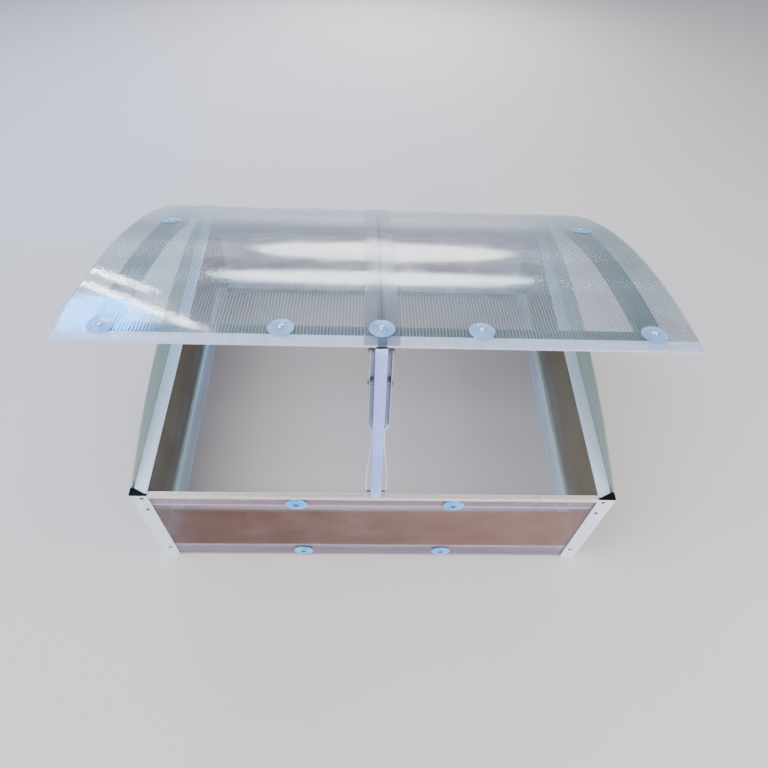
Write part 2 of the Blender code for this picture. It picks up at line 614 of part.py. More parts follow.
def build_stay():
    """Stay tube with its channel, bolts, spring straps and cross pin, about the pivot; it hangs down -Z."""
    build_stay_bracket()
    half_w, half_d = STAY_WIDTH / 2, STAY_DEPTH / 2
    # Foot: a mitre parallel to the sloped seat. In the stay's own coordinates the slope is turned by the lean.
    seat_normal = Vector((math.sin(SEAT_SLOPE), math.cos(SEAT_SLOPE)))
    lean_c, lean_s = math.cos(STAY_LEAN), math.sin(STAY_LEAN)

    def local(y, z):
        dy, dz = y - STAY_Y, z - STAY_Z
        return Vector((dy * lean_c - dz * lean_s, dy * lean_s + dz * lean_c))

    toe = Vector((SEAT_TOE_Y, SEAT_TOE_Z)) + seat_normal * SEAT_GAP
    toe_local = local(toe.x, toe.y)
    normal_local = local(STAY_Y + seat_normal.x, STAY_Z + seat_normal.y)

    def foot_z(y):
        return toe_local.y - normal_local.x / normal_local.y * (y - toe_local.x)

    loops = []
    for inset in (0.0, STAY_WALL):
        w, d = half_w - inset, half_d - inset
        loops.append([(-w, -d), (w, -d), (w, d), (-w, d)])
    shape = bmesh.new()
    top = [[shape.verts.new((x, y, STAY_TOP)) for x, y in loop] for loop in loops]
    foot = [[shape.verts.new((x, y, foot_z(y))) for x, y in loop] for loop in loops]
    for i in range(4):
        j = (i + 1) % 4
        shape.faces.new((top[0][i], top[0][j], foot[0][j], foot[0][i]))
        shape.faces.new((top[1][j], top[1][i], foot[1][i], foot[1][j]))
        shape.faces.new((top[0][j], top[0][i], top[1][i], top[1][j]))
        shape.faces.new((foot[0][i], foot[0][j], foot[1][j], foot[1][i]))
    tube = add_object("stay_tube", shape, MILL, STAY)
    wide = CHANNEL_WIDTH / 2
    bolt_holes = [((-wide - 0.01, 0, z), (wide + 0.01, 0, z)) for z in (0, -CHANNEL_BOLT_DOWN)]
    drill(tube, bolt_holes, BOLT_HOLE)

    back = half_d + CLEAR
    section = [(-wide, -half_d - CHANNEL_LIP), (-wide + CHANNEL_WALL, -half_d - CHANNEL_LIP),
               (-wide + CHANNEL_WALL, back), (wide - CHANNEL_WALL, back),
               (wide - CHANNEL_WALL, -half_d - CHANNEL_LIP), (wide, -half_d - CHANNEL_LIP),
               (wide, back + CHANNEL_WALL), (-wide, back + CHANNEL_WALL)]
    channel = add_object("stay_channel", along_z(section, -CHANNEL_LENGTH, EAR_RADIUS), ANGLE, STAY)
    notch_x = STAY_WIDTH / 2 + EAR_GAP + EAR_WALL + 0.001
    notch = along_z(rectangle(-notch_x, notch_x, half_d - 0.001, back + CHANNEL_WALL + 0.002),
                    -WEB_NOTCH, EAR_RADIUS + 0.002)
    combine(channel, [add_object("notch", notch, ANGLE, STAY)], "DIFFERENCE")
    drill(channel, bolt_holes, BOLT_HOLE)

    for name, z in (("stay_pivot_bolt", 0), ("stay_channel_bolt", -CHANNEL_BOLT_DOWN)):
        bolt = turned(bolt_profile(wide + CLEAR), (0, 0, z), (1, 0, 0), 16)
        add_object(name, bolt, STEEL, STAY, smooth=True)

    # Spring straps: flared tip, waist against the tube, bow to the cross pin at the foot.
    foot_height = -STAY_LENGTH
    pin_y = half_d + CROSS_PIN_RADIUS + 2 * CLEAR
    pin_z = foot_height + STRAP_FOOT + 0.004
    waist = half_w + CLEAR
    count = 12
    for name, side in (("left", -1), ("right", 1)):
        line = [(waist + STRAP_FLARE, foot_height + STRAP_WAIST + STRAP_TIP),
                (waist + STRAP_FLARE * 0.45, foot_height + STRAP_WAIST + 0.0125),
                (waist + 0.0006, foot_height + STRAP_WAIST + 0.008)]
        for k in range(count + 1):
            u = k / count
            z = foot_height + STRAP_WAIST * (1 - u) + STRAP_FOOT * u
            swell = 0.5 - 0.5 * math.cos(math.pi * min(1.0, max(0.0, (u - 0.12) / 0.62)))
            line.append((waist + (STRAP_BOW - waist - STRAP_WALL) * swell, z))
        inner = [Vector(p) for p in line]
        outer = []
        for i, p in enumerate(inner):
            tangent = (inner[min(i + 1, len(inner) - 1)] - inner[max(i - 1, 0)]).normalized()
            outer.append(p + Vector((-tangent.y, tangent.x)) * STRAP_WALL)
        outline = [(side * p.x, p.y) for p in inner + outer[::-1]]
        y0 = pin_y - STRAP_DEPTH / 2
        strap = add_object(f"stay_strap_{name}", along_y(outline, y0, y0 + STRAP_DEPTH), ANGLE, STAY)
        drill(strap, [((0, pin_y, pin_z), (side * 0.03, pin_y, pin_z))], CROSS_PIN_RADIUS + CLEAR)
    cross = STRAP_BOW + CLEAR
    profile = [(0, -cross - 0.002), (0.0035, -cross - 0.002), (0.0035, -cross), (CROSS_PIN_RADIUS, -cross),
               (CROSS_PIN_RADIUS, cross), (0.0035, cross), (0.0035, cross + 0.002), (0, cross + 0.002)]
    add_object("stay_cross_pin", turned(profile, (0, pin_y, pin_z), (1, 0, 0), 14), STEEL, STAY, smooth=True)

    # Sloped seat on the front trim.
    heel_y = TRIM_WALL + CLEAR
    low = NOTCH_FLOOR + CLEAR
    crest = SEAT_TOE_Z + (SEAT_TOE_Y - heel_y) * math.tan(SEAT_SLOPE)
    seat = [(heel_y, low), (SEAT_TOE_Y, low), (SEAT_TOE_Y, SEAT_TOE_Z), (heel_y, crest)]
    add_object("stay_seat", along_x(seat, -SEAT_WIDTH / 2, SEAT_WIDTH / 2), MILL, BASE)


def centre_on_origin():
    """Move the frame so that its origin is under the middle of its bounding box."""
    bpy.context.view_layer.update()
    depths = [(thing.matrix_world @ vertex.co).y for thing in bpy.data.objects if thing.type == "MESH"
              for vertex in thing.data.vertices]
    BASE.location.y = -(min(depths) + max(depths)) / 2
    bpy.context.view_layer.update()


build_base()
build_roof()
build_hinges()
build_stay()
centre_on_origin()
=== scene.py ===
"""Finished look of a cold frame that stands propped open on its stay.

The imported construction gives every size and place. This script makes the hollow twin-wall sheets, the
profiles, washers, screws, bolts and tape as finished pieces, and dresses them in node-built finishes.
Lengths are metres, +Z is up and the front faces -Y.
"""
import json
import logging
import math
from dataclasses import dataclass, field
from enum import Enum
from typing import Callable, Iterable, Sequence

import bmesh
import bpy
import numpy as np
from mathutils import Matrix, Vector

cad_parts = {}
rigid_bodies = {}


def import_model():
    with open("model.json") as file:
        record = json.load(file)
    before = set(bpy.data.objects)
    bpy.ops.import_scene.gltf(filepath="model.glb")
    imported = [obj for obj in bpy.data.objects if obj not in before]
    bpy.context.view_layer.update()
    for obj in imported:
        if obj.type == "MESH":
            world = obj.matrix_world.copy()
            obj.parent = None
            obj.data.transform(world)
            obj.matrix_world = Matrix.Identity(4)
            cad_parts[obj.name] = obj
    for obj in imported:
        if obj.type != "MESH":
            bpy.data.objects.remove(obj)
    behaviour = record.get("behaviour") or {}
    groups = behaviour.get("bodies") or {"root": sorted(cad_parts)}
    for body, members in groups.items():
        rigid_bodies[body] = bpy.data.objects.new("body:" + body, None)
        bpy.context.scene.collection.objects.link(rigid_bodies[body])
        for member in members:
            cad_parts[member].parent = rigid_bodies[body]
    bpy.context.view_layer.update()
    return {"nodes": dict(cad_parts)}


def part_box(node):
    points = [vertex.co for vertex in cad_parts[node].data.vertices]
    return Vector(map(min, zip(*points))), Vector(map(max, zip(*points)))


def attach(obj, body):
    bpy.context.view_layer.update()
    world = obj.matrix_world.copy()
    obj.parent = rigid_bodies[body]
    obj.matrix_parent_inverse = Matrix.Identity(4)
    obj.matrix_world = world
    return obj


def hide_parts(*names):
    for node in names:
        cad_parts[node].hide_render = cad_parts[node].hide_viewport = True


for _leftover in list(bpy.data.objects):
    bpy.data.objects.remove(_leftover, do_unlink=True)
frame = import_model()
LOG = logging.getLogger("cold_frame")
Array = np.ndarray
Colour = tuple[float, float, float]


# ------------------------------------------------------------------ mesh making
def put_mesh(name: str, points: Array, faces: Sequence[Array], marks: Sequence[int] | None = None,
             smooth_angle: float = 35.0) -> bpy.types.Object:
    """Make an object from point and face arrays, turned so that its faces point outwards.

    The signed volume is a sixth of the sum, over each face's fan of triangles, of the first corner's dot
    product with the cross product of the other two; where it is negative all faces are reversed.

    Args:
        name: Name of the object.
        points: Places, shape (count, 3).
        faces: Arrays of corner indices, each of shape (count, corners).
        marks: Material index of each face array, all 0 if left out; settle() turns them back to 0.
        smooth_angle: Edges sharper than this many degrees stay sharp.

    Returns:
        The new object, at the origin.
    """
    volume = 0.0
    for block in faces:
        first = points[block[:, 0]]
        for k in range(1, block.shape[1] - 1):
            volume += float((first * np.cross(points[block[:, k]], points[block[:, k + 1]])).sum())
    if volume < 0:
        faces = [block[:, ::-1] for block in faces]
    mesh = bpy.data.meshes.new(name)
    corners = np.concatenate([block.ravel() for block in faces]).astype(np.int32)
    sizes = np.concatenate([np.full(len(block), block.shape[1]) for block in faces])
    starts = (np.cumsum(sizes) - sizes).astype(np.int32)
    mesh.vertices.add(len(points))
    mesh.vertices.foreach_set("co", points.astype(np.float32).ravel())
    mesh.loops.add(len(corners))
    mesh.loops.foreach_set("vertex_index", corners)
    mesh.polygons.add(len(sizes))
    mesh.polygons.foreach_set("loop_start", starts)
    if marks is not None:
        index = np.concatenate([np.full(len(block), mark) for block, mark in zip(faces, marks)])
        mesh.polygons.foreach_set("material_index", index.astype(np.int32))
    mesh.update(calc_edges=True)
    mesh.validate()
    mesh.shade_smooth()
    mesh.set_sharp_from_angle(angle=math.radians(smooth_angle))
    piece = bpy.data.objects.new(name, mesh)
    bpy.context.scene.collection.objects.link(piece)
    return piece


def join_arrays(parts: Iterable[tuple[Array, Sequence[Array]]]) -> tuple[Array, list[Array]]:
    """Stack several (points, faces) shapes into one, shifting each shape's indices past the last."""
    points, faces, count = [], [], 0
    for some_points, some_faces in parts:
        points.append(some_points)
        faces.extend(block + count for block in some_faces)
        count += len(some_points)
    return np.concatenate(points), faces


def rounded(outline: Array, radius: float, steps: int = 3) -> Array:
    """Round every corner of an outline.

    Each corner becomes a quadratic curve (1-s)^2 start + 2 s (1-s) corner + s^2 end, whose start and end lie
    on the two edges at the radius from the corner, or at most 45% of the shorter edge.

    Args:
        outline: Corners, shape (count, 2).
        radius: Distance along the edges where the rounding starts.
        steps: Segments in each rounding.

    Returns:
        The rounded outline, shape (count * (steps + 1), 2).
    """
    before, after = np.roll(outline, 1, 0) - outline, np.roll(outline, -1, 0) - outline
    before_length = np.linalg.norm(before, axis=1, keepdims=True)
    after_length = np.linalg.norm(after, axis=1, keepdims=True)
    cut = np.minimum(radius, 0.45 * np.minimum(before_length, after_length))
    start, end = outline + before / before_length * cut, outline + after / after_length * cut
    s = np.linspace(0, 1, steps + 1)[None, :, None]
    curve = (1 - s) ** 2 * start[:, None] + 2 * s * (1 - s) * outline[:, None] + s ** 2 * end[:, None]
    return curve.reshape(-1, 2)


def swept(rings: Array, capped: bool = True) -> tuple[Array, list[Array]]:
    """Skin a stack of equal rings.

    Args:
        rings: Places, shape (stations, around, 3).
        capped: Close both ends with one face each; an open tube is joined end to start otherwise.

    Returns:
        Points and faces.
    """
    stations, around, _ = rings.shape
    index = np.arange(stations * around).reshape(stations, around)
    if capped:
        low, high = index[:-1], index[1:]
    else:
        low, high = index, np.roll(index, -1, 0)
    quads = np.stack([low, np.roll(low, -1, 1), np.roll(high, -1, 1), high], -1).reshape(-1, 4)
    faces = [quads]
    if capped:
        faces += [index[0][None, ::-1], index[-1][None]]
    return rings.reshape(-1, 3), faces


def lathed(profile: Sequence[tuple[float, float]], place: Vector, axis: Vector, sides: int = 32
           ) -> tuple[Array, list[Array]]:
    """Turn a (radius, height) profile about an axis.

    A point is place + radius (cos a across + sin a side) + height axis, with a running round the circle.
    The first and last profile points are small flat discs.

    Args:
        profile: Radii and heights, from the foot to the top, every radius above 0.
        place: Where height 0 is.
        axis: Direction of the height.
        sides: Points round the circle.

    Returns:
        Points and faces.
    """
    up = np.array(axis.normalized())
    across = np.array(axis.orthogonal().normalized())
    side = np.cross(up, across)
    angle = np.linspace(0, math.tau, sides, endpoint=False)
    circle = np.cos(angle)[:, None] * across + np.sin(angle)[:, None] * side
    shape = np.array(profile)
    rings = np.array(place) + shape[:, 0, None, None] * circle[None] + shape[:, 1, None, None] * up
    return swept(rings)


def fitted_circle(points: Array) -> tuple[float, float, float]:
    """Centre and radius of the circle that best fits (a, b) points.

    Solves 2 a ca + 2 b cb + k = a^2 + b^2 by least squares; the radius is the root of k + ca^2 + cb^2.
    """
    left = np.column_stack([2 * points, np.ones(len(points))])
    right = (points ** 2).sum(1)
    (ca, cb, k), *_ = np.linalg.lstsq(left, right, rcond=None)
    return float(ca), float(cb), math.sqrt(k + ca * ca + cb * cb)


def node_points(node: str) -> Array:
    """Places of a construction node's vertices, shape (count, 3)."""
    mesh = frame["nodes"][node].data
    flat = np.empty(len(mesh.vertices) * 3, np.float32)
    mesh.vertices.foreach_get("co", flat)
    return flat.reshape(-1, 3).astype(float)


def softened_copy(node: str, name: str, width: float, segments: int = 2) -> bpy.types.Object:
    """Copy a construction node as one clean mesh and give its edges a small round.

    Args:
        node: The construction node.
        name: Name of the new piece.
        width: Width of the rounding.
        segments: Segments across the rounding.

    Returns:
        The new piece, with a live Bevel modifier.
    """
    shape = bmesh.new()
    shape.from_mesh(frame["nodes"][node].data)
    bmesh.ops.remove_doubles(shape, verts=shape.verts, dist=1e-6)
    bmesh.ops.dissolve_limit(shape, angle_limit=math.radians(0.4), verts=shape.verts, edges=shape.edges)
    mesh = bpy.data.meshes.new(name)
    shape.to_mesh(mesh)
    shape.free()
    for layer in [a for a in mesh.attributes if a.name in ("custom_normal", "sharp_edge", "sharp_face")]:
        mesh.attributes.remove(layer)
    mesh.materials.clear()
    mesh.shade_smooth()
    piece = bpy.data.objects.new(name, mesh)
    bpy.context.scene.collection.objects.link(piece)
    bevel = piece.modifiers.new("edges", "BEVEL")
    bevel.width = width
    bevel.segments = segments
    bevel.limit_method = "ANGLE"
    bevel.angle_limit = math.radians(32)
    bevel.harden_normals = True
    return piece


def settle(piece: bpy.types.Object, body: str, materials: Sequence[bpy.types.Material],
           replaces: Sequence[str] = ()) -> bpy.types.Object:
    """Dress a piece and hand it to its body.

    Clearing the old materials also turns every face back to the first one, so a second finish stays unseen.

    Args:
        piece: The finished piece.
        body: The body it moves with.
        materials: Its materials, of which the faces carry the first.
        replaces: Construction nodes that it stands for.

    Returns:
        The piece.
    """
    piece.data.materials.clear()
    for material in materials:
        piece.data.materials.append(material)
    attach(piece, body)
    if replaces:
        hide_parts(*replaces)
    LOG.info("%s rides on %s", piece.name, body)
    return piece


# ------------------------------------------------------------------ finishes
class Grain(Enum):
    """Direction of a profile's drawing lines, as the stretch of its pattern along x, y and z."""

    ALONG_X = (0.02, 1.0, 1.0)
    ALONG_Y = (1.0, 0.02, 0.02)
    ALONG_Z = (1.0, 1.0, 0.02)
    EVEN = (0.5, 0.5, 0.5)


class Flutes(Enum):
    """Axis across which a sheet's flutes repeat."""

    ACROSS_X = 0
    ACROSS_Y = 1


class Wiring:
    """A material under construction: adds shader nodes and links them."""

    def __init__(self, name: str) -> None:
        """Start an empty material with that name."""
        self.material = bpy.data.materials.new(name)
        self.material.use_nodes = True
        self.tree = self.material.node_tree
        self.tree.nodes.clear()
        self.output = self.tree.nodes.new("ShaderNodeOutputMaterial")
        self.coords = self.tree.nodes.new("ShaderNodeTexCoord").outputs["Object"]

    def node(self, kind: str, inputs: dict, **settings: object) -> bpy.types.Node:
        """Add a node, set its properties, and set or link its inputs by name or index."""
        made = self.tree.nodes.new(kind)
        for key, value in settings.items():
            setattr(made, key, value)
        for key, value in inputs.items():
            if isinstance(value, bpy.types.NodeSocket):
                self.tree.links.new(value, made.inputs[key])
            else:
                made.inputs[key].default_value = value
        return made

    def stretched(self, scale: Sequence[float]) -> bpy.types.NodeSocket:
        """Object coordinates times a scale along each axis."""
        return self.node("ShaderNodeMapping", {"Vector": self.coords, "Scale": scale}).outputs[0]

    def noise(self, scale: float, detail: float = 3.0, stretch: Sequence[float] = (1.0, 1.0, 1.0)
              ) -> bpy.types.NodeSocket:
        """Noise of a given scale over stretched coordinates."""
        inputs = {"Vector": self.stretched(stretch), "Scale": scale, "Detail": detail}
        return self.node("ShaderNodeTexNoise", inputs).outputs[0]

    def ramp(self, value: bpy.types.NodeSocket, low: float, high: float, to_low: float, to_high: float
             ) -> bpy.types.NodeSocket:
        """Map a value from one range to another, held at both ends."""
        inputs = {"Value": value, "From Min": low, "From Max": high, "To Min": to_low, "To Max": to_high}
        return self.node("ShaderNodeMapRange", inputs).outputs[0]

    def sum(self, first: bpy.types.NodeSocket, second: bpy.types.NodeSocket | float) -> bpy.types.NodeSocket:
        """Add two values and hold the result between 0 and 1."""
        return self.node("ShaderNodeMath", {0: first, 1: second}, operation="ADD", use_clamp=True).outputs[0]

    def product(self, first: bpy.types.NodeSocket, second: bpy.types.NodeSocket | float
                ) -> bpy.types.NodeSocket:
        """Multiply two values."""
        return self.node("ShaderNodeMath", {0: first, 1: second}, operation="MULTIPLY").outputs[0]

    def blend(self, factor: bpy.types.NodeSocket, first: Colour, second: Colour) -> bpy.types.NodeSocket:
        """Mix two colours by a factor."""
        inputs = {0: factor, 6: (*first, 1.0), 7: (*second, 1.0)}
        return self.node("ShaderNodeMix", inputs, data_type="RGBA").outputs[2]

    def mixed(self, factor: bpy.types.NodeSocket, first: bpy.types.Node, second: bpy.types.Node
              ) -> bpy.types.Node:
        """Mix two shaders by a factor."""
        return self.node("ShaderNodeMixShader", {0: factor, 1: first.outputs[0], 2: second.outputs[0]})

    def bump(self, height: bpy.types.NodeSocket, strength: float, distance: float) -> bpy.types.NodeSocket:
        """Surface normal raised by a height."""
        inputs = {"Height": height, "Strength": strength, "Distance": distance}
        return self.node("ShaderNodeBump", inputs).outputs[0]

    def finish(self, shader: bpy.types.Node) -> bpy.types.Material:
        """Connect the shader to the output and return the material."""
        self.tree.links.new(shader.outputs[0], self.output.inputs["Surface"])
        return self.material


@dataclass(frozen=True)
class MetalFinish:
    """Aluminium or steel with drawing lines, smudges and lighter convex edges broken up by specks."""

    name: str
    colour: Colour
    shade: Colour
    edge_tone: Colour
    metallic: float
    roughness: float
    line_depth: float

    def material(self, grain: Grain) -> bpy.types.Material:
        """Build the finish with its lines along the grain."""
        wiring = Wiring(f"{self.name}_{grain.name.lower()}")
        lines = wiring.noise(420.0, 2.0, grain.value)
        smudges = wiring.noise(9.0, 5.0)
        specks = wiring.noise(160.0, 4.0)
        dull = wiring.ramp(smudges, 0.42, 0.70, 0.0, 1.0)
        body = wiring.blend(dull, self.colour, self.shade)
        # Colour turns lighter where the mesh is most convex, broken up by specks.
        pointed = wiring.node("ShaderNodeNewGeometry", {}).outputs["Pointiness"]
        lighter_edges = wiring.product(wiring.ramp(pointed, 0.53, 0.60, 0.0, 0.8),
                              wiring.ramp(specks, 0.4, 0.6, 0.3, 1.0))
        colour = wiring.node("ShaderNodeMix", {0: lighter_edges, 6: body, 7: (*self.edge_tone, 1.0)}, data_type="RGBA")
        rough = wiring.sum(wiring.ramp(lines, 0.3, 0.7, self.roughness - 0.07, self.roughness + 0.07),
                           wiring.ramp(dull, 0.0, 1.0, 0.0, 0.10))
        normal = wiring.bump(lines, self.line_depth, 0.0002)
        return wiring.finish(wiring.node("ShaderNodeBsdfPrincipled", {
            "Base Color": colour.outputs[2], "Roughness": rough, "Metallic": self.metallic,
            "Normal": normal}))


@dataclass(frozen=True)
class SoilFilm:
    """Mottled film of dried soil on a wall between its rails, thinner towards both side walls."""

    low: float
    high: float
    colour: Colour
    patch_colour: Colour
    cover: float
    edge: float = 0.006
    thin_from: float = 0.40
    thin_to: float = 0.46

    def strength(self, wiring: Wiring) -> bpy.types.NodeSocket:
        """Cover of the film: mottled, and fading out over its edge at its lowest and highest place."""
        across, _, height = wiring.node("ShaderNodeSeparateXYZ", {0: wiring.coords}).outputs
        above = wiring.ramp(height, self.low - self.edge, self.low + self.edge, 0.0, 1.0)
        below = wiring.ramp(height, self.high - self.edge, self.high + self.edge, 1.0, 0.0)
        away = wiring.node("ShaderNodeMath", {0: across}, operation="ABSOLUTE").outputs[0]
        sides = wiring.ramp(away, self.thin_from, self.thin_to, 1.0, 0.55)
        mottle = wiring.ramp(wiring.noise(11.0, 6.0), 0.30, 0.70, self.cover * 0.75, self.cover * 1.2)
        return wiring.product(wiring.product(above, below), wiring.product(sides, mottle))

    def tone(self, wiring: Wiring) -> bpy.types.NodeSocket:
        """Colour of the film: paler to the right, with mottles."""
        across = wiring.node("ShaderNodeSeparateXYZ", {0: wiring.coords}).outputs[0]
        drift = wiring.ramp(across, -0.35, 0.30, -0.25, 0.75)
        mottle = wiring.ramp(wiring.noise(23.0, 6.0), 0.35, 0.65, 0.0, 0.45)
        return wiring.blend(wiring.sum(drift, mottle), self.colour, self.patch_colour)


@dataclass(frozen=True)
class PaintedSideReflection:
    """Painted reflection of dark surroundings on the roof: a green-grey tone that thickens towards both
    sides, mostly on its right.
    """

    colour: Colour
    patch_colour: Colour
    cover: float
    clear_to: float = 0.33
    full_from: float = 0.50

    def strength(self, wiring: Wiring) -> bpy.types.NodeSocket:
        """Cover of the painted reflection, by the distance from the middle."""
        across = wiring.node("ShaderNodeSeparateXYZ", {0: wiring.coords}).outputs[0]
        right = wiring.ramp(across, self.clear_to, self.full_from, 0.0, self.cover)
        left = wiring.ramp(across, -self.full_from, -self.clear_to, self.cover * 0.35, 0.0)
        mottle = wiring.ramp(wiring.noise(9.0, 4.0), 0.3, 0.7, 0.6, 1.3)
        return wiring.product(wiring.sum(right, left), mottle)

    def tone(self, wiring: Wiring) -> bpy.types.NodeSocket:
        """Colour of the painted reflection: two mottled tones."""
        return wiring.blend(wiring.ramp(wiring.noise(14.0, 5.0), 0.35, 0.65, 0.0, 1.0), self.colour,
                            self.patch_colour)


@dataclass(frozen=True)
class SheetFinish:
    """Clear sheet: see-through and glossy, with a light haze that is denser over the flutes' webs."""

    name: str
    tint: Colour
    haze_colour: Colour
    haze: float
    web_haze: float
    patch_colour: Colour
    gloss_roughness: float
    index: float
    film: SoilFilm | PaintedSideReflection | None = None
    web_shine: float = 1.0
    back_haze: float = 0.0

    def material(self, flutes: Flutes | None, pitch: float = 1.0, start: float = 0.0) -> bpy.types.Material:
        """Build the finish.

        Args:
            flutes: Axis across the flutes, or None for a plain extrusion.
            pitch: Width of one flute.
            start: Place of a web on that axis.

        Returns:
            The material.
        """
        wiring = Wiring(f"{self.name}_{flutes.name.lower() if flutes else 'plain'}")
        normal = wiring.bump(wiring.noise(55.0, 2.0), 0.05, 0.0006)
        mirror = wiring.node("ShaderNodeFresnel", {"IOR": self.index, "Normal": normal}).outputs[0]
        patches = wiring.noise(7.0, 5.0)
        dust = wiring.noise(260.0, 3.0)
        haze = wiring.sum(wiring.ramp(patches, 0.3, 0.75, self.haze * 0.7, self.haze * 1.5),
                          wiring.ramp(dust, 0.58, 0.75, 0.0, 0.03))
        if self.back_haze > 0:
            depth = wiring.node("ShaderNodeSeparateXYZ", {0: wiring.coords}).outputs[1]
            haze = wiring.sum(haze, wiring.ramp(depth, -0.18, 0.16, 0.0, self.back_haze))
        if flutes is not None:
            axis = wiring.node("ShaderNodeSeparateXYZ", {0: wiring.coords}).outputs[flutes.value]
            moved = wiring.node("ShaderNodeMath", {0: axis, 1: start}, operation="SUBTRACT").outputs[0]
            turns = wiring.product(moved, 1.0 / pitch)
            away = wiring.node("ShaderNodeMath", {0: turns, 1: 0.5}, operation="PINGPONG").outputs[0]
            haze = wiring.sum(haze, wiring.ramp(away, 0.05, 0.16, self.web_haze, 0.0))
            share = wiring.ramp(away, 0.08, 0.34, self.web_shine, 2.0 - self.web_shine)
            mirror = wiring.product(mirror, share)
        haze_colour = wiring.blend(wiring.ramp(patches, 0.4, 0.65, 0.0, 1.0), self.haze_colour,
                                   self.patch_colour)
        smear = wiring.ramp(wiring.noise(30.0, 4.0), 0.3, 0.7, self.gloss_roughness * 0.6,
                            self.gloss_roughness * 1.6)
        clear = wiring.node("ShaderNodeBsdfTransparent", {"Color": (*self.tint, 1.0)})
        gloss = wiring.node("ShaderNodeBsdfGlossy", {"Roughness": smear, "Normal": normal})
        leaving = wiring.node("ShaderNodeNewGeometry", {}).outputs["Backfacing"]
        shine = wiring.product(mirror, wiring.ramp(leaving, 0.0, 1.0, 1.0, 0.0))
        milk = wiring.node("ShaderNodeBsdfPrincipled", {
            "Base Color": haze_colour, "Roughness": 0.35, "Normal": normal})
        surface = wiring.mixed(haze, wiring.mixed(shine, clear, gloss), milk)
        # The overlay is a soil film on the walls and a painted reflection of dark surroundings on the roof.
        if self.film is not None:
            soil = wiring.node("ShaderNodeBsdfPrincipled", {
                "Base Color": self.film.tone(wiring), "Roughness": 0.6, "IOR": 1.2})
            surface = wiring.mixed(self.film.strength(wiring), surface, soil)
        return wiring.finish(surface)


@dataclass(frozen=True)
class MouldedFinish:
    """Moulded plastic with a fine grain, see-through where its cover is under 1."""

    name: str
    colour: Colour
    shade: Colour
    roughness: float
    cover: float
    coat: float
    index: float = 1.45

    def material(self) -> bpy.types.Material:
        """Build the finish."""
        wiring = Wiring(self.name)
        clouds = wiring.noise(40.0, 4.0)
        grain = wiring.noise(900.0, 2.0)
        colour = wiring.blend(wiring.ramp(clouds, 0.35, 0.7, 0.0, 1.0), self.colour, self.shade)
        rough = wiring.ramp(clouds, 0.3, 0.7, self.roughness * 0.8, self.roughness * 1.25)
        solid = wiring.node("ShaderNodeBsdfPrincipled", {
            "Base Color": colour, "Roughness": rough, "Coat Weight": self.coat, "Coat Roughness": 0.08,
            "IOR": self.index, "Normal": wiring.bump(grain, 0.12, 0.0001)})
        if self.cover >= 1.0:
            return wiring.finish(solid)
        clear = wiring.node("ShaderNodeBsdfTransparent", {"Color": (0.86, 0.93, 1.0, 1.0)})
        cover = wiring.ramp(clouds, 0.3, 0.7, self.cover - 0.08, self.cover + 0.08)
        return wiring.finish(wiring.mixed(cover, clear, solid))


